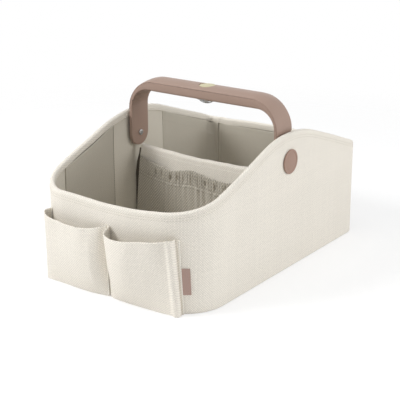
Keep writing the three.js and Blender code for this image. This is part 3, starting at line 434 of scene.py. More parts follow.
def piece(name, part, material, body, replaces=()):
    """A mesh object from (points in millimetres, faces, pattern places), riding on a body.

    A face whose last two corners are the same point is a triangle."""
    points, faces, places = part
    name = name.replace(" ", "_")
    if name in frame["nodes"]:
        name += "_dressed"
    mesh = bpy.data.meshes.new(name)
    triangle = faces[:, 2] == faces[:, 3]
    keep = np.ones(faces.shape, bool)
    keep[triangle, 3] = False
    counts = keep.sum(1)
    mesh.vertices.add(len(points))
    mesh.vertices.foreach_set("co", (points * MM).astype(np.float32).ravel())
    mesh.loops.add(int(counts.sum()))
    mesh.loops.foreach_set("vertex_index", faces[keep].astype(np.int32))
    mesh.polygons.add(len(faces))
    mesh.polygons.foreach_set("loop_start", (np.cumsum(counts) - counts).astype(np.int32))
    mesh.update(calc_edges=True)
    layer = mesh.uv_layers.new(name="cloth")
    layer.data.foreach_set("uv", (places[keep] * MM).astype(np.float32).ravel())
    mesh.validate()
    smoothed(mesh, CLOTH_EDGE_DEGREES)
    made = bpy.data.objects.new(name, mesh)
    bpy.context.scene.collection.objects.link(made)
    made.data.materials.append(material)
    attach(made, body)
    if replaces:
        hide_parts(*replaces)
    return made


def lengths(points, axis):
    """How far each point of a grid lies along its row or column."""
    steps = np.linalg.norm(np.diff(points, axis=axis), axis=-1)
    return np.insert(np.cumsum(steps, axis=axis), 0, 0, axis=axis)


def outward_of(points):
    """Directions square to a grid of points: the cross product of its two ways, by differences."""
    return unit(np.cross(np.gradient(points, axis=0), np.gradient(points, axis=1)))


def band(loops, pattern):
    """A tube of cloth from closed loops of points, each going out on one side and back on the other. Faces between
    the two halves of its first and last loops close its ends."""
    count, columns = loops.shape[:2]
    points, faces, places = grid(loops, (False, True), pattern)
    k = np.arange(columns // 2 - 1)
    strip = np.stack([k, k + 1, columns - 2 - k, columns - 1 - k], -1)
    last_strip = strip[:, ::-1]
    faces = np.concatenate([faces, strip, last_strip + (count - 1) * columns])
    return points, faces, np.concatenate([places, pattern[0][strip], pattern[-1][last_strip]])


def sheet(face, thickness, pattern, facing=1):
    """A sheet of cloth: its face is the grid, its back lies a thickness behind, and half-round folds join them.

    The grid's first way runs along the cloth. Facing is 1 or -1: the side that shows."""
    normal = facing * outward_of(face)
    back = face - thickness * normal
    middle = (face + back) / 2

    def fold(end, before):
        away = unit(middle[:, end] - middle[:, before])[:, None]
        turn = np.array([math.pi / 3, 2 * math.pi / 3])[None, :, None]
        half = thickness / 2
        return middle[:, end][:, None] + half * (np.cos(turn) * normal[:, end][:, None] + np.sin(turn) * away)

    top, foot = fold(-1, -2), fold(0, 1)
    loops = np.concatenate([foot[:, :1], face, top, back[:, ::-1], foot[:, 1:]], axis=1)
    first, last = pattern[:, :1], pattern[:, -1:]
    whole = band(loops, np.concatenate([first, pattern, last, last, pattern[:, ::-1], first], axis=1))
    return whole if facing > 0 else flipped(whole)


def domed(loops, pattern=None, poles=None):
    """A grid joined along its first way whose two ends are closed by fans from the poles, or from their middles."""
    points, faces, places = grid(loops, (True, False), pattern)
    count, columns = loops.shape[:2]
    i = np.arange(count)
    here, there = i * columns, (i + 1) % count * columns
    low, high = np.full(count, len(points)), np.full(count, len(points) + 1)
    end = columns - 1
    fans = np.concatenate([np.stack([low, there, here, here], -1),
                           np.stack([high, here + end, there + end, there + end], -1)])
    points = np.concatenate([points, loops[:, [0, -1]].mean(0) if poles is None else poles])
    return points, np.concatenate([faces, fans]), np.concatenate([places, points[fans][..., :2]])


def revolve(profile, sides, axis="z", centre=(0, 0, 0), turn_sign=1):
    """A closed turned solid: the profile's (radius, height) pairs, from axis to axis, carried round a full turn."""
    profile = np.asarray(profile, float)
    angle = full_turn(sides)[:, None]
    radius, height = profile[1:-1].T
    ring = stack(radius * np.cos(angle), radius * np.sin(angle), height)
    points, faces, _ = domed(ring, poles=stack(0, 0, profile[[0, -1], 1]))
    places = points[faces][..., :2]
    if axis == "x":
        points = np.stack([turn_sign * points[:, 2], turn_sign * points[:, 0], points[:, 1]], -1)
    return points + np.asarray(centre, float), faces, places


def rounded(corners, radius):
    """A closed outline with each corner turned by a quadratic curve that starts a radius before it."""
    corners = np.asarray(corners, float)
    start, end = (corners + unit(np.roll(corners, way, 0) - corners) * radius for way in (1, -1))
    t = np.linspace(0, 1, 5)[None, :, None]
    curve = (1 - t) ** 2 * start[:, None] + 2 * t * (1 - t) * corners[:, None] + t ** 2 * end[:, None]
    return curve.reshape(-1, 2)


def beads(centres, along, outward, length, width, height):
    """Short sewn stitches: the same small half-sunk capsule at every centre, turned to the row and the cloth.

    The capsule is a tube whose radius is the square root of 1 - (0.94 s)^4 along it, closed by its end rings'
    centres."""
    s = np.linspace(-1, 1, STITCH_ROWS)
    angle = full_turn(STITCH_SIDES)[:, None]
    swell = np.sqrt(1 - (0.94 * s) ** 4)
    capsule = stack(s * length / 2, swell * np.cos(angle) * width / 2, swell * np.sin(angle) * height / 2)
    base, faces, _ = domed(capsule)
    ways = np.stack([along, unit(np.cross(outward, along)), outward], 1)
    points = centres[:, None] + base @ ways
    faces = (faces + (np.arange(len(centres)) * len(base))[:, None, None]).reshape(-1, 4)
    return points.reshape(-1, 3), faces, np.zeros((len(faces), 4, 2))


# The body's plan and rim

def outline(run):
    """Place and outward direction on the outer face, a distance round it from the front's middle, + to the right.

    Flat, then a front corner's arc, the side, a back corner's arc and the back's flat."""
    run = np.asarray(run, float)
    side = np.where(run < 0, -1.0, 1.0)
    far = np.abs(run)
    front_turn = np.clip((far - RUN_FRONT_ARC) / FRONT_RADIUS, 0, QUARTER)
    back_turn = np.clip((far - RUN_BACK_ARC) / BACK_RADIUS, 0, QUARTER)
    ahead = np.clip(far - RUN_SIDE, 0, RUN_BACK_ARC - RUN_SIDE)
    x = (np.minimum(far, FRONT_FLAT) + FRONT_RADIUS * np.sin(front_turn)
         - BACK_RADIUS * (1 - np.cos(back_turn)) - np.maximum(far - RUN_BACK, 0))
    y = -HALF_LENGTH + FRONT_RADIUS * (1 - np.cos(front_turn)) + ahead + BACK_RADIUS * np.sin(back_turn)
    turn = front_turn + back_turn
    return side * x, y, side * np.sin(turn), -np.cos(turn)


def rim_height(run):
    """Height of the rim's top: level at the front, up to a ridge over the pivots and down to the back, as the
    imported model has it, with each change of slope rounded by a parabola, plus small bells where the sewn rim
    of the real one stands a little higher or lower."""
    x, y, _, _ = outline(run)
    knee = RIM_KNEE_INSET - HALF_LENGTH
    front_slope = (RIM_RIDGE_HEIGHT - FRONT_RIM_HEIGHT) / (PIVOT_Y - knee)
    back_slope = (RIM_RIDGE_HEIGHT - BACK_RIM_HEIGHT) / (HALF_LENGTH - PIVOT_Y)
    height = FRONT_RIM_HEIGHT + np.maximum(np.minimum(y, PIVOT_Y) - knee, 0) * front_slope
    height -= np.maximum(y - PIVOT_Y, 0) * back_slope
    near_ridge = np.maximum(RIM_ROUND - np.abs(y - PIVOT_Y), 0)
    near_knee = np.maximum(RIM_KNEE_ROUND - np.abs(y - knee), 0)
    height -= (front_slope + back_slope) * near_ridge ** 2 / (4 * RIM_ROUND)
    height += front_slope * near_knee ** 2 / (4 * RIM_KNEE_ROUND)
    height -= np.where(y < 0, FRONT_RIM_DIP * np.maximum(1 - (x / FRONT_FLAT) ** 2, 0), 0)
    near, far = (smooth(way * run, SIDE_LIFT_START, SIDE_LIFT_END) for way in (1, -1))
    fade = 1 - smooth(np.abs(run), RUN_BACK_ARC - SIDE_SPREAD, RUN_BACK)
    height += fade * (NEAR_LIFT * near + FAR_LIFT * far)
    height += BACK_LIFT * smooth(y, SIDE_BACK_Y, HALF_LENGTH) * np.maximum(1 - (x / BACK_SEAM_X) ** 2, 0)
    height += SEAM_LIFT * hump(np.abs(run), RUN_SEAM + SEAM_LIFT_PAST, SEAM_LIFT_SPREAD)
    height += NEAR_CORNER_LIFT * hump(run, CORNER_RUN, CORNER_SPREAD)
    return height + FAR_CORNER_LIFT * hump(run, -CORNER_RUN, CORNER_SPREAD)


def ripple(run, z):
    """How far the sewn walls stray from true: slow waves along them that fade towards the floor, less a soft fold."""
    fold = FOLD_DEPTH * hump(run, FOLD_RUN, FOLD_SPREAD) * smooth(z, FOLD_FOOT, FOLD_HEAD)
    return smooth(z, WAVES_FOOT, WAVES_HEAD) * waves(run, z, WALL_WAVES) - fold


def body_point(run, inset, z):
    """A point of the walls: its place on the outline moved inwards, bowed out at the front's rim, leaned out at
    the back's foot, and strayed by the ripple that all the layers share."""
    x, y, nx, ny = outline(run)
    off = inset - ripple(run, z)
    x, y = x - nx * off, y - ny * off
    near_front = np.clip((SIDE_FRONT_Y - y) / FRONT_RADIUS, 0, 1)
    bow = FRONT_BOW * (z / FRONT_RIM_HEIGHT) * near_front * (1 - (x / HALF_WIDTH) ** 2)
    lean = np.where(y > 0, BACK_LEAN / HALF_LENGTH * (1 - z / LEAN_HEIGHT) * y, 0)
    return stack(x, y - bow + lean, z)


def folded(run):
    """The same place named from the other side, past the middle of the back."""
    return np.where(run > HALF_ROUND, run - 2 * HALF_ROUND, run)


def laid(face, runs, thickness, facing=-1):
    """A sheet from points that go along the runs and then up the wall. It faces the inside, or the outside with 1."""
    return sheet(face, thickness, stack(runs[:, None], lengths(face, 1)), facing)


def wall_sheet(runs, section, thickness, facing=-1):
    """A sheet along the walls whose cross-section is given as insets and heights, one row per run."""
    return laid(body_point(folded(runs)[:, None], *section), runs, thickness, facing)


# Materials

NOISE_LOW, NOISE_HIGH = 0.3, 0.7


class Net:
    """The nodes of a material or a world, added one at a time and joined as they are added."""

    def __init__(self, owner):
        self.owner = owner
        owner.use_nodes = True
        self.tree = owner.node_tree
        self.tree.nodes.clear()

    def add(self, kind, *inputs, out=0, named=None, **settings):
        """A node whose inputs, in order or by name, are numbers or other nodes' outputs."""
        node = self.tree.nodes.new(kind)
        for key, value in settings.items():
            setattr(node, key, value)
        for key, value in list(enumerate(inputs)) + list((named or {}).items()):
            if isinstance(value, bpy.types.NodeSocket):
                self.tree.links.new(value, node.inputs[key])
            else:
                node.inputs[key].default_value = value
        return node.outputs[out]

    def math(self, operation, *inputs):
        """The output of a sum on numbers."""
        return self.add("ShaderNodeMath", *inputs, operation=operation)

    def own_place(self):
        """The point's place in the object's own space."""
        return self.add("ShaderNodeTexCoord", out=3)

    def noise(self, place, scale, detail=2, roughness=0.5):
        """Soft noise, mostly between NOISE_LOW and NOISE_HIGH, with so many bumps to the metre."""
        named = {"Vector": place, "Scale": scale, "Detail": detail, "Roughness": roughness}
        return self.add("ShaderNodeTexNoise", named=named)

    def streaks(self, place, scales, detail, roughness):
        """Noise of a different scale along each of the three ways."""
        return self.noise(self.add("ShaderNodeVectorMath", place, scales, operation="MULTIPLY"), 1, detail, roughness)

    def pick(self, share, low, high):
        """The low number at share 0 and the high one at 1."""
        return self.add("ShaderNodeMix", named={0: share, 2: low, 3: high})

    def span(self, value, to_low, to_high, low=NOISE_LOW, high=NOISE_HIGH):
        """A value from low to high, brought to one from to_low to to_high and held between them."""
        named = {"Value": value, "From Min": low, "From Max": high, "To Min": to_low, "To Max": to_high}
        return self.add("ShaderNodeMapRange", named=named)

    def tinted(self, colour, tone):
        """The colour times a grey tone."""
        grey = self.add("ShaderNodeCombineColor", tone, tone, tone)
        return self.add("ShaderNodeMix", out=2, named={0: 1.0, 6: colour, 7: grey}, data_type="RGBA",
                        blend_type="MULTIPLY")

    def varied(self, colour, *terms):
        """The colour times 1 plus the sum of weight * (value - middle) over the terms (value, middle, weight)."""
        tone = 1
        for value, middle, weight in terms:
            tone = self.math("MULTIPLY_ADD", self.math("SUBTRACT", value, middle), weight, tone)
        return self.tinted(colour, tone)

    def towards_camera(self):
        """1 on rays from the camera and on their reflections and refractions, 0 on the others."""
        rays = self.add("ShaderNodeLightPath").node.outputs
        share = rays["Is Camera Ray"]
        for kind in ("Is Glossy Ray", "Is Transmission Ray"):
            share = self.math("MAXIMUM", share, rays[kind])
        return share

    def show(self, shader, output="ShaderNodeOutputMaterial"):
        """Makes the shader the surface's own."""
        self.tree.links.new(shader, self.tree.nodes.new(output).inputs["Surface"])

    def finish(self, colour, height, depth_mm, **principled):
        """The material with a surface of this colour and with bumps as deep as the height times the depth."""
        bump = self.add("ShaderNodeBump", named={"Strength": 1, "Distance": depth_mm * MM, "Height": height})
        self.show(self.add("ShaderNodeBsdfPrincipled", named={"Base Color": colour, "Normal": bump, **principled}))
        return self.owner


def linear(red, green, blue):
    """A colour from its 0 to 255 values on a screen, as the linear shares that the shader takes."""
    share = np.array([red, green, blue]) / 255
    return (*np.where(share <= 0.04045, share / 12.92, ((share + 0.055) / 1.055) ** 2.4), 1.0)


def cloth(name, colour, pitch_mm, depth_mm=0.12, mottle_share=0.06, contrast=0.03):
    """Woven cloth on the pattern's places: two sets of rounded threads that pass over and under each other, with
    uneven threads, a heathered colour and a little fuzz. The threads' height also sets their tone: painted shade in
    the hollows between them and a painted highlight on their crests."""
    net = Net(bpy.data.materials.new(name))
    place = net.add("ShaderNodeUVMap", uv_map="cloth")
    across, along, _ = net.add("ShaderNodeSeparateXYZ", place).node.outputs
    wander = net.noise(place, scale=90)
    u, v = (net.math("MULTIPLY_ADD", way, 1 / (pitch_mm * MM), net.math("MULTIPLY", wander, drift))
            for way, drift in ((across, 0.9), (along, -0.7)))
    warp, weft = (net.math("ABSOLUTE", net.math("SINE", net.math("MULTIPLY", way, math.pi))) for way in (u, v))
    thread_u, thread_v = (net.math("FLOOR", way) for way in (u, v))
    over = net.math("LESS_THAN", net.math("FLOORED_MODULO", net.math("ADD", thread_u, thread_v), 2), 0.5)
    high_warp = net.math("MULTIPLY", warp, net.math("MULTIPLY_ADD", weft, 0.5, 0.5))
    high_weft = net.math("MULTIPLY", weft, net.math("MULTIPLY_ADD", warp, 0.5, 0.5))
    thread_height_and_shade = net.pick(over, high_weft, high_warp)
    shade_u, shade_v = (net.add("ShaderNodeTexWhiteNoise", named={"W": which}, noise_dimensions="1D")
                        for which in (thread_u, thread_v))
    mottle = net.noise(place, scale=520, roughness=0.7)
    broad = net.noise(place, scale=14)
    # The term of the threads' height is painted shade in their hollows and a painted highlight on their crests; the
    # other terms are the yarns' own tones.
    tint = net.varied(colour, (net.pick(over, shade_v, shade_u), 0.5, mottle_share * 0.35),
                      (mottle, 0.5, mottle_share * 2.4), (broad, 0.5, 0.06), (thread_height_and_shade, 0.62, 0.34),
                      (over, 0.5, 2 * contrast))
    height = net.math("MULTIPLY_ADD", net.noise(place, scale=1500), 0.35, thread_height_and_shade)
    return net.finish(tint, height, depth_mm, Roughness=net.span(mottle, 0.9, 0.98),
                      **{"Sheen Weight": 0.12, "Sheen Roughness": 0.4, "Specular IOR Level": 0.2})


def moulded(name, colour, rough=0.42, grain_scale=1400, grain_mm=0.012, mottle_share=0.03, shine=0.5):
    """Moulded plastic: a satin surface with fine grain, a little flow in its colour and faint handling marks."""
    net = Net(bpy.data.materials.new(name))
    place = net.own_place()
    grain = net.noise(place, grain_scale, detail=3, roughness=0.6)
    marks = net.streaks(place, (30.0, 420.0, 260.0), detail=4, roughness=0.7)
    tint = net.varied(colour, (net.noise(place, scale=38, detail=3), 0.5, mottle_share * 2), (grain, 0.5, mottle_share))
    roughness = net.span(marks, rough - 0.06, rough + 0.1, high=0.75)
    return net.finish(tint, grain, grain_mm, Roughness=roughness, **{"Specular IOR Level": shine})


def metal(name, colour):
    """Drawn metal: fine lines round it and an uneven polish."""
    net = Net(bpy.data.materials.new(name))
    place = net.own_place()
    lines = net.streaks(place, (200.0, 3000.0, 3000.0), detail=3, roughness=0.6)
    roughness = net.span(net.noise(place, scale=500), 0.22, 0.4)
    return net.finish(colour, lines, depth_mm=0.004, Metallic=1.0, Roughness=roughness)


def fibre_board(name, colour):
    """Pressed fibre board: flecks of fibre and a dull, slightly uneven face."""
    net = Net(bpy.data.materials.new(name))
    fleck = net.streaks(net.own_place(), (900.0, 300.0, 500.0), detail=4, roughness=0.7)
    tint = net.tinted(colour, net.span(fleck, 0.82, 1.06, low=0.35))
    return net.finish(tint, fleck, depth_mm=0.06, Roughness=net.span(fleck, 0.8, 0.95))


def glassy(name, colour):
    """Clear plastic with faint flow marks."""
    net = Net(bpy.data.materials.new(name))
    flow = net.noise(net.own_place(), scale=220)
    tint = net.tinted(colour, net.span(flow, 0.94, 1.0))
    return net.finish(tint, flow, depth_mm=0.02, Roughness=net.span(flow, 0.06, 0.11),
                      **{"Transmission Weight": 1.0, "IOR": 1.3})


def hooked(name, colour):
    """Hook-and-loop tape: rows of small tufts, with painted shade between them and a painted highlight on their tops.
    """
    net = Net(bpy.data.materials.new(name))
    cells = net.add("ShaderNodeTexVoronoi", named={"Vector": net.own_place(), "Scale": 900.0, "Randomness": 0.4})
    # The tone follows the tufts' height: painted shade between the tufts and a painted highlight on their tops.
    tint = net.tinted(colour, net.span(cells, 1.15, 0.6, low=0.0, high=0.6))
    return net.finish(tint, net.math("SUBTRACT", 1, cells), depth_mm=0.4,
                      Roughness=net.span(cells, 0.8, 0.95, low=0.0, high=0.6))


OUTER = cloth("outer cloth", linear(238, 232, 221), 1.45, 0.22, 0.14, contrast=0.09)
LINING = cloth("lining cloth", linear(217, 211, 198), 1.4, 0.12, 0.07)
SLIP = cloth("slip pocket cloth", linear(194, 188, 175), 1.4, 0.12, 0.07)
GATHERED = cloth("gathered cloth", linear(193, 187, 175), 2.2, 0.35, 0.16, contrast=0.2)
ELASTIC = cloth("elastic", linear(214, 210, 198), 0.9, 0.15)
THREAD = cloth("stitching thread", linear(246, 244, 236), 0.4, 0.05, 0.03)
# Cloth-coloured thread darkened as painted shade of its sunk stitches
SHADED_RIM_THREAD = cloth("sunk thread with painted shade", linear(204, 198, 184), 0.4, 0.05, 0.03)
# Dark thread: the casing's rows, and painted shade along the front slip pockets' rear edges
SEAM_AND_SHADE_THREAD = cloth("seam thread and painted shade", linear(128, 121, 108), 0.4, 0.05, 0.03)
LABEL = cloth("label cloth", linear(179, 153, 143), 0.7, 0.08, 0.05, contrast=0.06)
HANDLE = moulded("handle plastic", linear(160, 136, 123), 0.4, shine=0.25)
PIVOT = moulded("pivot plastic", linear(157, 129, 115), 0.5, shine=0.3)
BUTTON = moulded("button plastic", linear(200, 193, 158), 0.4, mottle_share=0.02, shine=0.3)
SWITCH = moulded("switch plastic", linear(42, 42, 44), 0.45)
SLEEVE = moulded("cell sleeve", linear(64, 80, 98), 0.35)
CIRCUIT = moulded("circuit board", linear(226, 228, 222), 0.4, 700, 0.03, 0.05)
LAMP = moulded("lamp", linear(244, 238, 190), 0.3)
STEEL = metal("steel", linear(196, 197, 198))
BOARD = fibre_board("board", linear(206, 200, 188))
LENS = glassy("clear plastic", linear(250, 251, 252))
# Its dark colour is partly painted shade: the same material makes the strips that stand for the shadowed gaps beside
# the divider.
HOOKS_AND_SHADE = hooked("hook-and-loop tape", linear(96, 88, 78))

MATERIALS = {
    "outer_cloth": OUTER, "lining_cloth": LINING, "gathered_cloth": GATHERED, "elastic": ELASTIC,
    "board": BOARD, "hook_and_loop": HOOKS_AND_SHADE, "label_cloth": LABEL, "handle_plastic": HANDLE,
    "pivot_plastic": PIVOT, "button_plastic": BUTTON, "lens_plastic": LENS, "circuit_board": CIRCUIT,
    "lamp": LAMP, "switch_plastic": SWITCH, "cell_sleeve": SLEEVE, "steel": STEEL,
}


# Camera

def look(azimuth, elevation, distance, target, roll, lens):
    """A camera at a distance from a target, seen from an azimuth and an elevation, turned about its own axis."""
    data = bpy.data.cameras.new("camera")
    data.sensor_width = SENSOR_MM
    data.lens = lens
    data.clip_end = 20
    camera = bpy.data.objects.new("camera", data)
    bpy.context.scene.collection.objects.link(camera)
    back = Vector((math.sin(azimuth) * math.cos(elevation), -math.cos(azimuth) * math.cos(elevation),
                   math.sin(elevation)))
    camera.location = (target + back * distance) * MM
    camera.rotation_mode = "QUATERNION"
    camera.rotation_quaternion = (-back).to_track_quat("-Z", "Y") @ Quaternion((0, 0, 1), roll)
    bpy.context.scene.camera = camera


look(VIEW_AZIMUTH, VIEW_ELEVATION, VIEW_DISTANCE, VIEW_TARGET, VIEW_ROLL,
     FOCAL_PX / PICTURE_SIDE_PX * SENSOR_MM)


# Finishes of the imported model's own meshes, for those that nothing below stands for

for part in frame["record"]["subparts"]:
    node = frame["nodes"][part["node"]]
    node.data.materials.clear()
    node.data.materials.append(MATERIALS[part["material_slot"]])


# Walls

def along(first, last, step):
    """Even places from the first to the last, about a step apart."""
    return np.linspace(first, last, max(2, int(round(abs(last - first) / step)) + 1))


def section_rows(*parts):
    """A cross-section's insets and heights from pairs of them, which may be numbers or hold a value per run."""
    return tuple(stack(*values) for values in zip(*parts))


def climb(inset, low, high, count):
    """A straight rise of the section at an inset, low and high being a height or a value per run."""
    return [(inset, mix(low, high, share)) for share in np.linspace(0, 1, count)]


def arc(centre, height, radius, start, end, count=5):
    """Part of a circle of a section or a profile. Angle 0 points away from the side or the axis, 90 degrees up."""
    return [(centre + radius * math.cos(turn), height + radius * math.sin(turn))
            for turn in np.radians(np.linspace(start, end, count))]


def shell_section(runs):
    """Cloth from its turned foot, round a quarter circle, straight up the outer face, round the rim's half circle and
    straight down inside as the hem. By a bell, it rolls inwards at the seams of the back, where two cloths meet."""
    runs = folded(runs)
    head = rim_height(runs)
    roll = HEM_INSET / 2
    parts = [(mix(FOOT_TURN_IN, FOOT_RADIUS, share), FOOT_LIFT) for share in (0, 0.4, 0.8)]
    parts += arc(FOOT_RADIUS, FOOT_RADIUS + FOOT_LIFT, FOOT_RADIUS, 270, 180, 6)
    parts += climb(0 * runs, FOOT_RADIUS + 3, head - roll - 2, 34)
    parts += arc(roll, head - roll, roll, 180, 0, 13)
    parts += climb(HEM_INSET, head - roll - 1, head - HEM_DEPTH, 6)
    insets, heights = section_rows(*parts)
    dip = SEAM_ROLL * hump(np.abs(runs), RUN_SEAM, SEAM_ROLL_SPREAD)
    return insets + dip[:, None] * (insets < roll), heights


def wall_section(runs, inset, drop, count=28):
    """A layer at an inset, from the walls' foot up to a drop below the rim."""
    return section_rows(*climb(inset, WALL_FOOT, rim_height(folded(runs)) - drop, count))


wrap_runs = along(-RUN_SEAM, RUN_SEAM, CLOTH_STEP)
part = wall_sheet(wrap_runs, shell_section(wrap_runs), OUTER_CLOTH, 1)
outer_wrap = piece("outer cloth wrap", part, OUTER, "caddy", ("outer_wrap", "rim_facing"))

back_runs = along(RUN_SEAM + GAP, 2 * HALF_ROUND - RUN_SEAM - GAP, CLOTH_STEP)
part = wall_sheet(back_runs, shell_section(back_runs), OUTER_CLOTH, 1)
outer_back = piece("outer cloth back", part, OUTER, "caddy", ("outer_back",))

part = wall_sheet(wrap_runs, wall_section(wrap_runs, LINING_FACE, LINING_DROP), LINING_CLOTH)
lining_wrap = piece("lining wrap", part, LINING, "caddy", ("lining_wrap",))
part = wall_sheet(back_runs, wall_section(back_runs, LINING_FACE, LINING_DROP), LINING_CLOTH)
lining_back = piece("lining back", part, LINING, "caddy", ("lining_back",))

for word, first, last in (
    ("front", GAP - RUN_SIDE, RUN_SIDE - GAP),
    ("right", RUN_SIDE + GAP, RUN_BACK_ARC - GAP),
    ("left", -RUN_BACK_ARC + GAP, -RUN_SIDE - GAP),
    ("back", RUN_BACK_ARC, 2 * HALF_ROUND - RUN_BACK_ARC),
):
    runs = along(first, last, BOARD_STEP)
    part = wall_sheet(runs, wall_section(runs, BOARD_INSET, BOARD_DROP, 16), BOARD_THICKNESS, 1)
    piece(f"board {word}", part, BOARD, "caddy", (f"board_{word}",))


def slip_pocket(name, first, last, node):
    """A flat pocket on the lining, sewn at its sides and foot. It stands off by half a sine wave along it times the
    cube of the height's share, up to a raised hem, and its mouth dips by half a sine wave. A rear pocket's front edge
    is drawn in, and its cloth cuts the body's corner by a bell."""
    runs = along(first, last, CLOTH_STEP)
    at = folded(runs)
    far = np.abs(at)
    share = (runs - first) / (last - first)
    rear = node.startswith("side_pocket_rear")
    sunk = SLIP_EDGE_SUNK * rear * (1 - smooth(far - far.min(), 0.5, SLIP_EDGE_WIDTH))
    gape = SLIP_GAPE * np.sin(math.pi * share) - sunk
    head = rim_height(at) - HEM_DEPTH - SLIP_DROP - SLIP_MOUTH_DIP * np.sin(math.pi * share)
    hem = head - SLIP_HEM
    inset = SLIP_INSET + SLIP_CLOTH
    parts = [(inset + np.where(gape < 0, gape, gape * level ** 3), mix(FLOOR_TOP + GAP, hem - 1.2, level))
             for level in np.linspace(0, 1, 24)]
    parts += [(inset + gape + SLIP_HEM_RAISED * lift, mix(hem - 1, hem, lift)) for lift in (0, 0.5, 1)]
    parts += [(inset + gape + SLIP_HEM_RAISED, mix(hem, head, level)) for level in np.linspace(0.2, 1, 7)]
    insets, heights = section_rows(*parts)
    face = body_point(at[:, None], insets, heights)
    cut = hump(far, (RUN_BACK_ARC + RUN_BACK) / 2, CORNER_CUT_SPREAD) * (1 - smooth(far, RUN_SEAM - 15, RUN_SEAM - 3))
    inward = stack(-np.sign(at), -1, 0) * rear
    face = face + (CORNER_CUT * cut[:, None] * inward)[:, None] * np.linspace(1.2, 0.4, face.shape[1])[None, :, None]
    made = piece(name, laid(face, runs, SLIP_CLOTH), SLIP, "caddy", (node,))
    return made, (runs, insets, heights)


def side_run(y):
    """The distance round the outline of a place on the right side."""
    return RUN_SIDE + y - SIDE_FRONT_Y


slips = {}
for word, side in (("left", -1), ("right", 1)):
    for which, low, high in (("front", side_run(SIDE_FRONT_Y), side_run(-FRONT_SLIP_START)),
                             ("rear", side_run(REAR_SLIP_START), RUN_SEAM - SLIP_SIDE_MARGIN)):
        first, last = sorted((side * low, side * high))
        slips[which, word] = slip_pocket(f"side pocket {which} {word}", first, last, f"side_pocket_{which}_{word}")
slip_start = RUN_SEAM + SLIP_SIDE_MARGIN
slips["back"] = slip_pocket("back pocket", slip_start, 2 * HALF_ROUND - slip_start, "back_pocket")


def plate(inset, low, high, radius):
    """A flat layer over the plan: rings of the outline, which grow over its under face, go round its edge on half a
    circle and shrink over its top. It leans out at the back as the walls' feet do."""
    runs = np.linspace(-HALF_ROUND, HALF_ROUND, PLATE_SIDES + 1)[:-1]
    turn = np.radians(np.linspace(270, 90, PLATE_EDGE_RINGS))
    flat, shrink = np.full(PLATE_RINGS, 1.0), np.linspace(0.98, 0.02, PLATE_RINGS)
    insets = np.concatenate([flat * (inset + radius), inset + radius + radius * np.cos(turn), flat * (inset + radius)])
    heights = np.concatenate([flat * low, (low + high) / 2 + (high - low) / 2 * np.sin(turn), flat * high])
    shares = np.concatenate([shrink, 0 * turn, shrink[::-1]])[:, None]
    x, y, nx, ny = (value[:, None] for value in outline(runs))
    lean = np.where(y > 0, BACK_LEAN / HALF_LENGTH * y, 0)
    rim = stack(x - nx * insets, y - ny * insets + lean, heights)
    loops = np.concatenate([rim[..., :2] * (1 - shares), rim[..., 2:]], -1)
    return domed(loops, loops[..., :2])


part = plate(BASE_CLOTH_INSET, 0, BASE_CLOTH, BASE_CLOTH_ROUND)
base_cloth = piece("base cloth", part, OUTER, "caddy", ("base_cloth",))
part = plate(LINING_FACE + BASE_LINING_SLACK, WALL_FOOT, FLOOR_TOP, BASE_LINING_ROUND)
base_lining = piece("base lining", part, LINING, "caddy", ("base_lining",))


# Front pockets

def pocket_face(side, table, stations, levels):
    """A pocket's outer face. Its table's rows say where the mouth and the foot stand along the wall and how far off.

    Between foot and mouth the face is straight but for a belly, the table's last column, at half height, and for
    small waves. Below level 0 it is the pocket's floor."""
    at = spline(table, stations)
    mouth_run, mouth_off, mouth_high, foot_run, foot_off, belly = (at[:, k, None] for k in range(6))
    level = np.clip(levels, 0, None)[None]
    floor = np.clip(-levels, 0, None)[None]
    run = side * POCKET_RUN * mix(foot_run, mouth_run, level)
    belly = belly / POCKET_DEPTH * 4 * level * (1 - level)
    share = np.maximum(mix(foot_off, mouth_off, level) + belly, 0)
    off = POCKET_SEWN + POCKET_DEPTH * share
    off = off + waves(run, level, POCKET_WAVES, side) * np.minimum(share * 3, 1) * level
    off = mix(off, POCKET_FLOOR_OFF, floor)
    height = mix(POCKET_FOOT, POCKET_HEIGHT * mouth_high, level)
    return body_point(run, -off, height)


def front_pocket(word, side, table):
    """A front pocket with its hem and the hem's turned edge a little proud of its cloth, and its face's points."""
    levels = np.concatenate([np.linspace(-1, -0.02, 6), np.linspace(0, 1, 44)])
    face = pocket_face(side, table, np.linspace(0, 1, 190), levels)
    hem = (smooth(levels, 0.872, 0.885) + 0.5 * smooth(levels, 0.97, 0.99))[None, :, None]
    face = face + POCKET_HEM_RAISED * hem * side * outward_of(face)
    pattern = stack(lengths(face, 0)[:, 20:21], lengths(face, 1))
    part = sheet(face, POCKET_CLOTH, pattern, side)
    made = piece(f"front pocket {word}", part, OUTER, "caddy", (f"front_pocket_{word}",))
    return made, face


RIGHT_POCKET = (
    (0.012, 0, 1.05, 0.012, 0, 0), (0.037, 0.03, 1.04, 0.037, 0.01, 0), (0.062, 0.72, 1.01, 0.062, 0.08, 1),
    (0.113, 0.88, 0.97, 0.12, 0.12, 4), (0.284, 1, 0.965, 0.285, 0.16, 7), (0.507, 0.95, 1, 0.51, 0.14, 4.5),
    (0.717, 0.76, 1.035, 0.72, 0.1, 0.5), (0.822, 0.6, 1.06, 0.86, 0.2, -0.8), (0.858, 0.65, 1.08, 0.91, 0.42, 0.3),
    (0.889, 0.6, 1.08, 0.945, 0.44, 0.8), (0.91, 0.38, 1.075, 0.97, 0.28, 0.5), (0.914, 0.16, 1.07, 0.976, 0.12, 0),
    (0.909, 0.02, 1.06, 0.974, 0.01, 0), (0.918, 0, 1.055, 0.98, 0, 0), (0.928, 0.01, 1.055, 0.985, 0.01, 0),
    (0.941, 0.04, 1.05, 0.992, 0.04, 0), (0.953, 0.03, 1.05, 0.998, 0.03, 0), (0.956, 0, 1.05, 1, 0, 0),
)
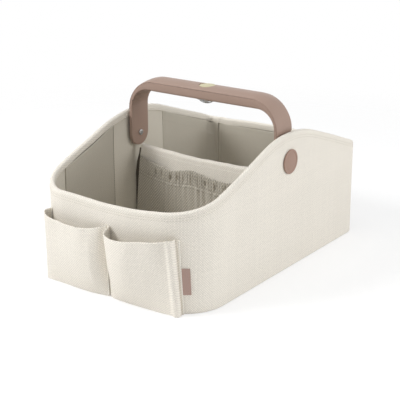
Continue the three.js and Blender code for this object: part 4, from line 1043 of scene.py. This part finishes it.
LEFT_POCKET = (
    (0.012, 0, 1.05, 0.012, 0, 0), (0.037, 0.1, 1.045, 0.037, 0.03, 3), (0.082, 0.34, 1.02, 0.082, 0.06, 6),
    (0.154, 0.58, 1, 0.154, 0.12, 8), (0.22, 0.71, 0.99, 0.22, 0.17, 7.5), (0.288, 0.8, 0.985, 0.288, 0.22, 6),
    (0.504, 0.76, 0.97, 0.514, 0.2, 4), (0.72, 0.64, 0.975, 0.73, 0.16, 1.6), (0.875, 0.59, 1.0, 0.885, 0.4, 0.3),
    (0.931, 0.5, 1.02, 0.936, 0.5, 0), (0.945, 0.36, 1.03, 0.955, 0.36, 0), (0.945, 0.18, 1.035, 0.96, 0.18, 0),
    (0.96, 0.03, 1.03, 0.975, 0.03, 0), (1, 0, 1.02, 1, 0, 0),
)
pocket_right, right_face = front_pocket("right", 1, RIGHT_POCKET)
pocket_left, left_face = front_pocket("left", -1, LEFT_POCKET)


def seam_run(z):
    """Where the right pocket's side seam stands round the outline at a height."""
    mouth, foot = RIGHT_POCKET[-1][0], RIGHT_POCKET[-1][3]
    level = (z - POCKET_FOOT) / (POCKET_HEIGHT * RIGHT_POCKET[-1][2] - POCKET_FOOT)
    return mix(foot, mouth, level) * POCKET_RUN


# Label tab

# It curls off the wall by the cube of its share outwards, and waves a little up its height
levels = np.linspace(0, 1, 24)
shares = np.linspace(0, 1, 12)[:, None]
label_z = mix(LABEL_FOOT, LABEL_FOOT + LABEL_HEIGHT, levels)[None]
label_run = seam_run(label_z) + GAP + LABEL_WIDTH * shares
curl = LABEL_THICKNESS + GAP + 0.5 * shares ** 3 + 0.15 * np.sin(5 * levels)[None]
part = sheet(body_point(label_run, -curl, label_z), LABEL_THICKNESS * 0.8, stack(label_run, label_z))
label = piece("label tab", part, LABEL, "caddy", ("label_tab",))


# Divider

def divider_half(z):
    """Half the divider's width: it widens from its top to its foot by the flare times the drop's share to a power."""
    return DIVIDER_HALF + DIVIDER_FLARE * np.clip((DIVIDER_TOP - z) / (DIVIDER_TOP - DIVIDER_FOOT), 0, 1) ** 0.7


def divider_piece(name, part, material, slot, *replaces):
    """A piece of the divider, riding on the divider's body, with a mesh of its own."""
    made = piece(name, part, material, "divider", replaces)
    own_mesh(made)
    return made


def cover_loops(half_shares, inside=0):
    """The cover's section at each share of its half width: up one face, round the top and down the other, as a
    flat bag whose thickness follows the fourth root of 1 - u^12 and whose faces swell a little. Its inner side lies
    the cloth's thickness inside that."""
    u = half_shares[:, None]
    edge = np.maximum(1 - np.abs(u) ** 12, 0) ** 0.25
    radius = DIVIDER_THICKNESS / 2 * mix(0.3, 1, edge)
    top = DIVIDER_TOP + DIVIDER_END_RISE * u ** 2 - DIVIDER_SAG * (1 - u ** 2) - radius
    top = top + 0.25 * np.sin(9 * u) + 0.2 * np.sin(23 * u + 1)
    radius = radius - inside
    level = np.linspace(0, 1, 26)[None]
    height = mix(DIVIDER_FOOT + inside, top, level)
    swell = 0.45 * np.sin(math.pi * level) * edge
    turn = np.radians(np.linspace(0, 180, 11))[None, 1:-1]
    y = np.concatenate([-radius - swell, -radius * np.cos(turn), radius + swell[:, ::-1]], 1)
    z = np.concatenate([height, top + radius * np.sin(turn), height[:, ::-1]], 1)
    x = u * (divider_half(z) - inside)
    return stack(x, PIVOT_Y + y, z)


def bag(inside):
    """One side of the cover's cloth, closed along its sides and foot."""
    shares = np.sin(np.linspace(-QUARTER, QUARTER, 90))
    loops = cover_loops(shares, inside)
    return band(loops, stack(shares[:, None] * DIVIDER_HALF, lengths(loops, 1)))


divider_cover = divider_piece("divider cover", merge(bag(0), flipped(bag(COVER_CLOTH))), OUTER, "outer_cloth",
                              "divider_cover")


def gathered(share, level, offset):
    """The gathered pocket's face. Between its seams it stands off the divider by a power of the level. Its folds are
    sines of the share along it, deepest under the elastic's casing, below which they fade exponentially, with finer
    ruffles at the mouth. A row of stitches pinches the casing, a few creases cross it, and the mouth rises and sags:
    all bells."""
    inside = 1 - share ** 4
    height = mix(GATHER_FOOT, GATHER_END_HEIGHT - GATHER_DIP * inside, level)
    fold = (np.sin(63 * share + 1.5 * np.sin(7 * share)) + 0.6 * np.sin(97 * share + 0.7)
            + 0.4 * np.sin(41 * share + 2 + 2 * level))
    below = np.exp(-np.clip(CASING_LEVEL - level, 0, 1) / 0.2) * smooth(CASING_LEVEL - level, -0.01, 0.05)
    deep = mix(0.2, 0.8, below) * smooth(level, 0, 0.35)
    ruffle = (np.sin(171 * share + 2 * np.sin(11 * share)) + 0.5 * np.sin(113 * share + 1)) * hump(level, 0.9, 0.09)
    off = GAP + offset + inside * (GATHER_DEPTH * level ** 0.7 + GATHER_FOLD * fold * deep + RUFFLE * ruffle)
    pinch = CASING_PINCH * hump(level, CASING_LEVEL, 0.012) * inside
    pinch = pinch + bells(share, CASING_CREASES) * (hump(level, 0.87, 0.055) + 0.25 * hump(level, 0.6, 0.2))
    off = np.maximum(off - pinch, GAP + offset)
    height = height + inside * level ** 3 * (bells(share, GATHER_SAGS) + 0.3 * np.sin(31 * share))
    x = share * (divider_half(height) - GATHER_MARGIN)
    return stack(x, PIVOT_Y - DIVIDER_THICKNESS / 2 - 0.5 * inside - off, height)


share, level = np.linspace(-1, 1, 520)[:, None], np.linspace(0, 1, 70)[None]
face = gathered(share, level, GATHER_CLOTH)
part = sheet(face, GATHER_CLOTH, stack(share * DIVIDER_HALF * 1.25, lengths(face, 1)))
divider_pocket = divider_piece("gathered pocket", part, GATHERED, "gathered_cloth", "divider_pocket")

share, level = np.linspace(-0.88, 0.88, 300)[:, None], np.linspace(0.83, 0.965, 11)[None]
face = gathered(share, level, -GAP)
part = sheet(face, ELASTIC_THICKNESS, stack(share * DIVIDER_HALF, lengths(face, 1)))
elastic = divider_piece("elastic", part, ELASTIC, "elastic", "pocket_elastic")


def tape(foot):
    """A strip of tape along the divider's foot: flat, with a slightly uneven face."""
    end = DIVIDER_HALF - TAPE_END_MARGIN
    x = np.linspace(-end, end, 90)[:, None]
    y = np.linspace(-TAPE_HALF_WIDTH, TAPE_HALF_WIDTH, 9)[None]
    face = stack(x, PIVOT_Y + y, foot + TAPE_THICKNESS - 0.04 * np.sin(x / 5) * np.cos(y))
    return sheet(face, TAPE_THICKNESS - 0.1, stack(x, y))


def side_shade_strip(side):
    """A narrow dark strip out of the seam along one side of the divider, painted shade for the shadowed gap between
    the divider and the wall. It reaches straight from the cover's slanting edge towards the wall, narrow near the top
    and again near the foot, where the cover itself meets the wall, and its face is a slow sine of the height."""
    height = np.linspace(DIVIDER_FOOT + 2, DIVIDER_TOP - 3, 60)[:, None]
    across = np.linspace(0, 1, 7)[None]
    edge = divider_half(height)
    width = mix(SIDE_SHADE_WIDTH_HIGH, SIDE_SHADE_WIDTH, smooth(DIVIDER_TOP - height, 8, 24))
    width = np.minimum(width, SIDE_SHADE_WALL - edge).clip(0.15)
    x = side * (edge - SIDE_SHADE_TUCK + (width + SIDE_SHADE_TUCK) * across)
    face = stack(x, PIVOT_Y - 1.4 - 0.2 * np.sin(height / 6), height)
    return sheet(face, SIDE_SHADE_THICKNESS, stack(x, height), side)


loop_strip = piece("loop strip", tape(FLOOR_TOP + GAP), HOOKS_AND_SHADE, "caddy", ("base_loop_strip",))
# Painted shade: dark strips in the gaps between the divider's sides and the walls
side_shade_strips = divider_piece("side shade strips", merge(side_shade_strip(-1), side_shade_strip(1)), HOOKS_AND_SHADE, "hook_and_loop")
hook_strip = divider_piece("hook strip", tape(FLOOR_TOP + TAPE_THICKNESS + 2 * GAP), HOOKS_AND_SHADE, "hook_and_loop",
                           "divider_hook_strip")


# Handle

legs = np.concatenate([np.linspace(PIVOT_Z, CAP_FOOT, 5),
                       np.linspace(CAP_FOOT + CAP_STEP, GRIP_UNDERSIDE - INNER_BEND, 7)[:-1]])
LEG_COUNT = len(legs)


def arch_line(leg_x, top, bend):
    """A line of the arch seen along the caddy, from the right leg's pivot to the left's: a straight leg, a corner on
    an arc and the straight grip, and then the same mirrored."""
    turn = np.linspace(0, QUARTER, 25)
    corner = stack(leg_x - bend * (1 - np.cos(turn)), top - bend * (1 - np.sin(turn)))
    grip = corner[-1] * stack(np.linspace(1, 0, 9)[1:], 1)
    half = np.concatenate([stack(leg_x, legs), corner, grip])
    return np.concatenate([half, half[-2::-1] * np.array([-1, 1])])


INNER_LINE = arch_line(LEG_INNER_X, GRIP_UNDERSIDE, INNER_BEND)
OUTER_LINE = arch_line(LEG_OUTER_X, GRIP_UNDERSIDE + GRIP_THICKNESS, OUTER_BEND)
ARCH_THICKNESS = np.linalg.norm(OUTER_LINE - INNER_LINE, axis=1)
FULLNESS = (ARCH_THICKNESS - LEG_THICKNESS) / (GRIP_THICKNESS - LEG_THICKNESS)  # 0 at the thin leg, 1 at the thick grip


def bar_section(low, high, low_radius, high_radius, crown):
    """A bar's section at each station, as distances across and depths: flat below, rounded edges, and a top whose
    depth falls by the crown times the square of its share across. Its right half comes first, then its mirror."""
    low, high, low_radius, high_radius, crown = (np.asarray(v, float)[:, None]
                                                 for v in (low, high, low_radius, high_radius, crown))
    flat = np.linspace(0, 1, 6)[None]
    turn = np.radians(np.linspace(0, 90, 6))[None]
    top = high - crown * ((HALF_HANDLE - high_radius) / HALF_HANDLE) ** 2 - high_radius
    over = flat[:, -2::-1] * (HALF_HANDLE - high_radius)
    across = [flat * (HALF_HANDLE - low_radius), HALF_HANDLE - low_radius + low_radius * np.sin(turn[:, 1:]),
              HALF_HANDLE - high_radius + high_radius * np.cos(turn), over]
    depth = [low + 0 * flat, low + low_radius - low_radius * np.cos(turn[:, 1:]), top + high_radius * np.sin(turn),
             high - crown * (over / HALF_HANDLE) ** 2]
    across, depth = np.concatenate(across, 1), np.concatenate(depth, 1)
    return np.concatenate([across, -across[:, -2:0:-1]], 1), np.concatenate([depth, depth[:, -2:0:-1]], 1)


def arch_points(keep, across, depth):
    """Points of the arch's kept stations from distances across it and depths out from its inner line."""
    inner, outer = INNER_LINE[keep][:, None], OUTER_LINE[keep][:, None]
    share = (depth / ARCH_THICKNESS[keep][:, None])[..., None]
    place = inner + (outer - inner) * share
    return stack(place[..., 0], PIVOT_Y + across, place[..., 1])


def solid(name, part, material, slot_name, body, *replaces):
    """A hard piece whose points that lie on each other are joined."""
    made = piece(name, part, material, body, replaces)
    work = bmesh.new()
    work.from_mesh(made.data)
    bmesh.ops.remove_doubles(work, verts=work.verts, dist=MERGE_MM * MM)
    bmesh.ops.recalc_face_normals(work, faces=work.faces)
    work.to_mesh(made.data)
    work.free()
    smoothed(made.data, HARD_EDGE_DEGREES)
    return made


# The handle's lower half, whose legs are whole
station = np.arange(len(ARCH_THICKNESS))
is_leg = np.minimum(station, station[::-1]) < LEG_COUNT - 1
shell_depth = np.where(is_leg, ARCH_THICKNESS, ARCH_THICKNESS * PARTING_SHARE)
low_radius = mix(LEG_CHAMFER, UNDERSIDE_CHAMFER + 0.6, FULLNESS)
section = bar_section(0 * shell_depth, shell_depth, low_radius, np.where(is_leg, LEG_CHAMFER, PARTING_EASE),
                      0 * shell_depth)


def leg_end(end, side):
    """A leg's round end: the right half of its section carried half a turn about the pivot."""
    across, depth = (values[end] for values in section)
    half = across > -1e-6
    turn = np.linspace(0, math.pi, 31)[:, None]
    return grid(stack(side * (LEG_INNER_X + depth[half]), PIVOT_Y + across[half] * np.cos(turn),
                      PIVOT_Z - across[half] * np.sin(turn)))


shell_part = merge(grid(arch_points(station, *section), (False, True)), leg_end(0, 1), leg_end(-1, -1))

# Its upper half, which closes the grip and the corners
cap_keep = station[LEG_COUNT - 1:1 - LEG_COUNT]
cap_thick = ARCH_THICKNESS[cap_keep]
cap_foot = cap_thick * PARTING_SHARE + GAP
cap_full = FULLNESS[cap_keep]
cap_edge = np.minimum(CAP_CHAMFER + 0.3 * cap_full, (cap_thick - cap_foot) * 0.5)
cap_section = bar_section(cap_foot, cap_thick, np.minimum(PARTING_EASE, cap_edge * 0.5), cap_edge,
                          CROWN_DROP * cap_full)
cap_part = flipped(domed(arch_points(cap_keep, *cap_section).swapaxes(0, 1)))


def box_part(low, high):
    """A box between two corners."""
    corners = np.stack(np.meshgrid(*np.transpose([low, high]), indexing="ij"), -1).reshape(-1, 3).astype(float)
    faces = np.array([[0, 1, 3, 2], [4, 6, 7, 5], [0, 4, 5, 1], [2, 3, 7, 6], [0, 2, 6, 4], [1, 5, 7, 3]])
    return corners, faces, corners[faces][..., :2]


def grip_box(from_x, to_x, half_across, low, high):
    """A box in the grip, by heights above its underside."""
    return box_part((from_x, PIVOT_Y - half_across, GRIP_UNDERSIDE + low),
                    (to_x, PIVOT_Y + half_across, GRIP_UNDERSIDE + high))


def grip_round(radius, x, low, high, sides=64):
    """An upright round in the grip, by heights above its underside."""
    profile = [(0, low), (radius, low), (radius, high), (0, high)]
    return revolve(profile, sides, centre=(x, PIVOT_Y, GRIP_UNDERSIDE))


def carved(made, *tools):
    """The piece with tools cut out of it for good."""
    for points, faces, _ in tools:
        mesh = bpy.data.meshes.new("cutter")
        mesh.from_pydata((points * MM).tolist(), [], [list(dict.fromkeys(face)) for face in faces.tolist()])
        cutter = bpy.data.objects.new("cutter", mesh)
        bpy.context.scene.collection.objects.link(cutter)
        change = made.modifiers.new("cut", "BOOLEAN")
        change.operation = "DIFFERENCE"
        change.solver = "EXACT"
        change.object = cutter
        graph = bpy.context.evaluated_depsgraph_get()
        result = bpy.data.meshes.new_from_object(made.evaluated_get(graph))
        made.modifiers.clear()
        old, made.data = made.data, result
        bpy.data.meshes.remove(old)
        bpy.data.objects.remove(cutter)
        bpy.data.meshes.remove(mesh)
    smoothed(made.data, HARD_EDGE_DEGREES)


handle_shell = solid("handle shell", shell_part, HANDLE, "handle_plastic", "handle", "handle_shell")
handle_cap = solid("handle cap", cap_part, HANDLE, "handle_plastic", "handle", "handle_cap")


def screw_sink(x):
    """The round hollow that a screw's head sits in, cut from below."""
    return grip_round(SCREW_SINK_RADIUS, x, -CUT_PAST, SCREW_SINK_DEPTH, 32)


carved(
    handle_shell,
    grip_box(-BAY_END, RIB_START, LIGHT_BAY_HALF, GRIP_FLOOR, BAY_STEP + BAY_OVERLAP),
    grip_box(-BAY_END, RIB_START, HALF_HANDLE - SHELL_WALL, BAY_STEP - BAY_OVERLAP, GRIP_THICKNESS),
    grip_round(LENS_SEAT, 0, GRIP_FLOOR, BAY_STEP),
    grip_box(RIB_END, BAY_END, HALF_HANDLE - SHELL_WALL, GRIP_FLOOR, GRIP_THICKNESS),
    grip_box(DOOR_START - GAP, DOOR_END + GAP, DOOR_HALF + GAP, -CUT_PAST, GRIP_FLOOR + BAY_OVERLAP),
    grip_round(LENS_RADIUS + GAP, 0, -CUT_PAST, GRIP_FLOOR + GAP),
    *[screw_sink(x) for x in (-COVER_SCREW_X, COVER_SCREW_X, DOOR_SCREW_X)],
)
carved(
    handle_cap,
    grip_round(BUTTON_RADIUS + GAP, 0, 0, GRIP_THICKNESS + CUT_PAST),
    grip_round(BUTTON_RADIUS + BUTTON_RIM + GAP, 0, 0, GRIP_THICKNESS - 2.5),
    grip_box(RIB_END, BAY_END, CAP_BAY_HALF, 0, GRIP_THICKNESS - SHELL_WALL),
)


# Light in the grip

def bowl(radius, drop, count):
    """Half an ellipse from its lowest point out to its edge: radius sin t, minus drop cos t."""
    return [(radius * math.sin(t), -drop * math.cos(t)) for t in np.linspace(0, QUARTER, count)]


in_grip = {"centre": (0, PIVOT_Y, GRIP_UNDERSIDE)}
flange_foot, flange_top = GRIP_FLOOR + GAP, GRIP_FLOOR + GAP + LENS_FLANGE_HEIGHT
lens_profile = [*bowl(LENS_RADIUS, LENS_DROP, 21), (LENS_RADIUS, flange_foot), (LENS_RADIUS + LENS_FLANGE, flange_foot),
                (LENS_RADIUS + LENS_FLANGE, flange_top), (LENS_RADIUS - LENS_WALL, flange_top),
                *bowl(LENS_RADIUS - LENS_WALL, LENS_DROP - LENS_WALL, 17)[::-1]]
points, faces, places = revolve(lens_profile, 96, **in_grip)

# The lens's facets: cosines round it, under a bell of the radius
x, y = points[:, 0], points[:, 1] - PIVOT_Y
facets = (0.5 + 0.5 * np.cos(LENS_LOBES * np.arctan2(y, x))) * hump(np.hypot(x, y), LENS_RIPPLE_AT, LENS_RIPPLE_WIDTH)
points[:, 2] += LENS_RIPPLE * facets * (points[:, 2] < GRIP_UNDERSIDE)
solid("light lens", (points, faces, places), LENS, "lens_plastic", "handle", "light_lens")

ring_angle = full_turn(64)[:, None]
bezel_in = LENS_RADIUS + GAP
radius, height = np.array([(bezel_in, BEZEL_FOOT + 0.15), (LENS_RADIUS + 0.45, BEZEL_FOOT),
                           *arc(BEZEL_RADIUS - 0.4, BEZEL_FOOT + 0.4, 0.4, -90, 0), (BEZEL_RADIUS, BEZEL_TOP),
                           (bezel_in, BEZEL_TOP)]).T
ring = stack(radius * np.cos(ring_angle), PIVOT_Y + radius * np.sin(ring_angle), GRIP_UNDERSIDE + height)
solid("lens bezel", grid(ring, (True, True)), STEEL, "steel", "handle", "lens_bezel")

# The button's top falls by the square of the radius and is hollowed a little in the middle
crown = GRIP_THICKNESS + BUTTON_PROUD
rim = BUTTON_RADIUS + BUTTON_RIM
dish = [(r, crown - BUTTON_DISH * (r / BUTTON_RADIUS) ** 2 - 0.25 * (1 - smooth(r, 5, 9)))
        for r in np.linspace(BUTTON_DISH_RADIUS, 0, 14)]
button_profile = [(0, BUTTON_STEM_FOOT), (BUTTON_STEM, BUTTON_STEM_FOOT), (BUTTON_STEM, BUTTON_RIM_FOOT),
                  (rim, BUTTON_RIM_FOOT), (rim, BUTTON_RIM_TOP), (BUTTON_RADIUS, BUTTON_RIM_TOP),
                  *arc(BUTTON_RADIUS - 0.5, crown - 1.45, 0.5, 0, 70), *dish]
solid("light button", revolve(button_profile, 64, **in_grip), BUTTON, "button_plastic", "light_button", "light_button")

door = rounded([(DOOR_START, -DOOR_HALF), (DOOR_END, -DOOR_HALF), (DOOR_END, DOOR_HALF), (DOOR_START, DOOR_HALF)],
               DOOR_CORNER)
middle = door.mean(0)
half_size = np.abs(door - middle).max(0)
loops = np.stack([stack(*(middle + (door - middle) * (1 - inwards / half_size)).T, height)
                  for inwards, height in DOOR_EDGE], 1)
battery_door = solid("battery door", domed(loops + np.array([0, PIVOT_Y, GRIP_UNDERSIDE])), HANDLE, "handle_plastic",
                     "handle", "battery_door")
carved(battery_door, screw_sink(DOOR_SCREW_X))


# Pivots and screws

def screwed(part, side):
    """A part of the upright screw, brought to its place inside a leg."""
    points, faces, places = part
    points = np.stack([-side * points[:, 2], side * points[:, 0], -points[:, 1]], -1)
    return points + np.array([side * (LEG_INNER_X - GAP), PIVOT_Y, PIVOT_Z]), faces, places


head, screw_top = SCREW_HEAD_RADIUS, SCREW_HEAD_HEIGHT
# A screw with a rounded head and a cross slot, upright, with its head's underside at height 0
screw_profile = [(0, -SCREW_LENGTH), (SCREW_SHANK * 0.4, -SCREW_LENGTH), (SCREW_SHANK, -SCREW_LENGTH + 0.8),
                 (SCREW_SHANK, 0), (head, 0), *arc(head - 0.5, screw_top - 0.5, 0.5, 0, 80),
                 *[(r, screw_top + 0.12 * (1 - (r / head) ** 2)) for r in (head * 0.5, 0)]]
slot_halves = ((SCREW_SLOT_HALF, SCREW_SLOT_SIDE), (SCREW_SLOT_SIDE, SCREW_SLOT_HALF))

leg_face, wall_face = LEG_OUTER_X + GAP, HALF_WIDTH + GAP
cap_face = wall_face + PIVOT_CAP_THICKNESS
# A pivot cap, with a rounded rim round a shallow dish that is domed by the square of the radius
cap_profile = [(0, PIVOT_BORE_END), (PIVOT_BORE, PIVOT_BORE_END), (PIVOT_BORE, leg_face), (PIVOT_BOSS, leg_face),
               (PIVOT_BOSS, wall_face), (PIVOT_CAP_RADIUS - 0.3, wall_face),
               *arc(PIVOT_CAP_RADIUS - PIVOT_CAP_EDGE, cap_face - 0.8, PIVOT_CAP_EDGE, -20, 90, 7),
               (12.9, cap_face + 0.1), (12.5, cap_face - 0.02), (12.2, cap_face - 0.35),
               (PIVOT_DISH_RADIUS, cap_face - PIVOT_DISH_DEPTH),
               *[(r, cap_face - PIVOT_DISH_DEPTH + PIVOT_DISH_RISE * (1 - (r / PIVOT_DISH_RADIUS) ** 2))
                 for r in (11, 9, 7, 5, 3, 1.5, 0)]]
washer_top = HALF_WIDTH - HEM_INSET - WASHER_SLACK
radius, height = np.array([(WASHER_BORE, leg_face), (WASHER_RADIUS - WASHER_EDGE, leg_face),
                           (WASHER_RADIUS, leg_face + WASHER_EDGE), (WASHER_RADIUS, washer_top),
                           (WASHER_BORE, washer_top)]).T
for word, side in (("left", -1), ("right", 1)):
    part = revolve(cap_profile, 64, axis="x", turn_sign=side, centre=(0, PIVOT_Y, PIVOT_Z))
    solid(f"pivot cap {word}", part, PIVOT, "pivot_plastic", "caddy", f"pivot_cap_{word}")
    ring = stack(side * height, PIVOT_Y + side * radius * np.cos(ring_angle), PIVOT_Z + radius * np.sin(ring_angle))
    solid(f"pivot washer {word}", grid(ring, (True, True)), PIVOT, "pivot_plastic", "caddy", f"pivot_washer_{word}")
    screw = solid(f"pivot screw {word}", screwed(revolve(screw_profile, 40), side), STEEL, "steel", "caddy",
                  f"pivot_screw_{word}")
    carved(screw, *[screwed(box_part((-x, -y, screw_top - SCREW_SLOT_DEPTH), (x, y, screw_top + 2)), side)
                    for x, y in slot_halves])


# Stitching

def stitch_row(path, outward, spacing, length, width, height):
    """Stitches evenly spaced along a path of points, each lying along it."""
    at = lengths(path[None], 1)[0]
    places = np.arange(spacing / 2, at[-1], spacing)

    def spread(values):
        return np.stack([np.interp(places, at, values[:, k]) for k in range(3)], -1)

    up = unit(spread(outward))
    ahead = unit(spread(np.gradient(path, at, axis=0)))
    up = unit(up - ahead * (up * ahead).sum(1, keepdims=True))
    return beads(spread(path) + 0.08 * up, ahead, up, length, width, height)


def wall_row(runs, inset, z, sign=1):
    """A row on the walls, at a height for each run. Sign is 1 on the outer face and -1 on the inner one."""
    _, _, nx, ny = outline(runs)
    return stitch_row(body_point(runs, inset, z), stack(sign * nx, sign * ny, 0), *RIM_STITCHES)


# The rim's rows, in a thread whose darkness is painted shade of sunk stitches
rows = []
wrap_end, back_start = RUN_SEAM - RIM_ROW_MARGIN, RUN_SEAM + BACK_ROW_MARGIN
for first, last, count in ((-wrap_end, wrap_end, 700), (back_start, 2 * HALF_ROUND - back_start, 160)):
    runs = folded(np.linspace(first, last, count))
    rows += [wall_row(runs, 0, rim_height(runs) - drop) for drop in RIM_ROW_DROPS]
    rows.append(wall_row(runs, HEM_INSET, rim_height(runs) - HEM_ROW_DROP, -1))
rim_stitches = piece("rim stitches", merge(*rows), SHADED_RIM_THREAD, "caddy")

# A dark row at the rear edge of each front slip pocket: painted shade at the foot of the pocket's edge
rows = []
for which, end, nudge in ((("front", "left"), 0, 0.2), (("front", "right"), -1, -0.2)):
    runs, insets, heights = slips[which][1]
    run, z = folded(runs[end] + nudge), heights[end]
    _, _, nx, ny = outline(run)
    path = body_point(run, insets[end] + 0.1, z)
    rows.append(stitch_row(path, stack(-nx, -ny, 0 * z), *SLIP_SHADE_STITCHES))
slip_shade_line = piece("slip pocket shade line", merge(*rows), SEAM_AND_SHADE_THREAD, "caddy")

rows = []
for face, side, columns in ((right_face, 1, (-6, 3)), (left_face, -1, (3,))):
    up = side * outward_of(face)
    rows += [stitch_row(face[column, 7:], up[column, 7:], *POCKET_STITCHES) for column in columns]
pocket_stitches = piece("pocket stitches", merge(*rows), THREAD, "caddy")

z = np.linspace(4, BACK_RIM_HEIGHT - 12, 60)
rows = [wall_row(np.full_like(z, side * (RUN_SEAM + shift)), 0, z) for side in (-1, 1) for shift in SEAM_ROW_SHIFTS]
back_stitches = piece("back seam stitches", merge(*rows), THREAD, "caddy")

share = np.linspace(-0.985, 0.985, 500)[:, None]
to_front = np.array([[0.0, -1.0, 0.0]])
rows = [stitch_row(gathered(share, level, GATHER_CLOTH + 0.05)[:, 0], to_front.repeat(500, 0), *CASING_STITCHES)
        for level in np.array([[[CASING_LEVEL]], [[CASING_LEVEL - CASING_ROW_GAP]]])]
casing_stitches = divider_piece("casing stitches", merge(*rows), SEAM_AND_SHADE_THREAD, "gathered_cloth")
cover_path = cover_loops(np.linspace(-0.97, 0.97, 300))[:, 24]
top_stitches = divider_piece("divider stitches", stitch_row(cover_path, to_front.repeat(300, 0), *RIM_STITCHES), THREAD,
                             "outer_cloth")


# Light, floor and background

WORLD_LIGHT = 0.48
FLOOR_HALF = 4
FLOOR_GLOW = 1.2
FLOOR_GLOW_SHARE = 0.42
FADE_START = 0.55
FADE_END = 1.0


def lamp(name, place, target, size, power):
    """A soft square lamp at a place, facing a target."""
    data = bpy.data.lights.new(name, "AREA")
    data.shape = "SQUARE"
    data.size = size
    data.energy = power
    made = bpy.data.objects.new(name, data)
    made.location = place
    made.rotation_mode = "QUATERNION"
    made.rotation_quaternion = (Vector(target) - Vector(place)).to_track_quat("-Z", "Y")
    bpy.context.scene.collection.objects.link(made)


lamp("key", (-1.2, -1.45, 1.45), (0, 0, 0.05), size=0.8, power=31)
lamp("fill", (2.05, 0.65, 0.9), (0, 0, 0.1), size=1.2, power=20)
lamp("top", (0.1, -0.4, 2.3), (0, 0, 0), size=1.3, power=9.5)

# White to the camera, and dimmer to the object
net = Net(bpy.data.worlds.new("studio"))
bpy.context.scene.world = net.owner
dim = net.add("ShaderNodeBackground", (0.98, 0.99, 1, 1), WORLD_LIGHT)
white = net.add("ShaderNodeBackground", (1, 1, 1, 1), 1.0)
net.show(net.add("ShaderNodeMixShader", net.towards_camera(), dim, white), "ShaderNodeOutputWorld")

# A pale floor that glows a little to the camera and fades into the background
floor_mesh = bpy.data.meshes.new("floor")
corners = [(x * FLOOR_HALF, y * FLOOR_HALF, 0) for x, y in ((-1, -1), (1, -1), (1, 1), (-1, 1))]
floor_mesh.from_pydata(corners, [], [(0, 1, 2, 3)])
floor = bpy.data.objects.new("floor", floor_mesh)
bpy.context.scene.collection.objects.link(floor)
net = Net(bpy.data.materials.new("floor"))
seen = net.towards_camera()
paper = net.add("ShaderNodeBsdfDiffuse", (0.9, 0.9, 0.9, 1))
glow = net.add("ShaderNodeEmission", named={"Strength": FLOOR_GLOW})
lit = net.add("ShaderNodeMixShader", net.math("MULTIPLY", seen, FLOOR_GLOW_SHARE), paper, glow)
distance = net.add("ShaderNodeVectorMath", net.own_place(), out=1, operation="LENGTH")
fade = net.math("MULTIPLY", seen, net.span(distance, 0.0, 1.0, FADE_START, FADE_END))
net.show(net.add("ShaderNodeMixShader", fade, lit, net.add("ShaderNodeBsdfTransparent")))
floor.data.materials.append(net.owner)

bpy.context.scene.view_settings.view_transform = "Standard"
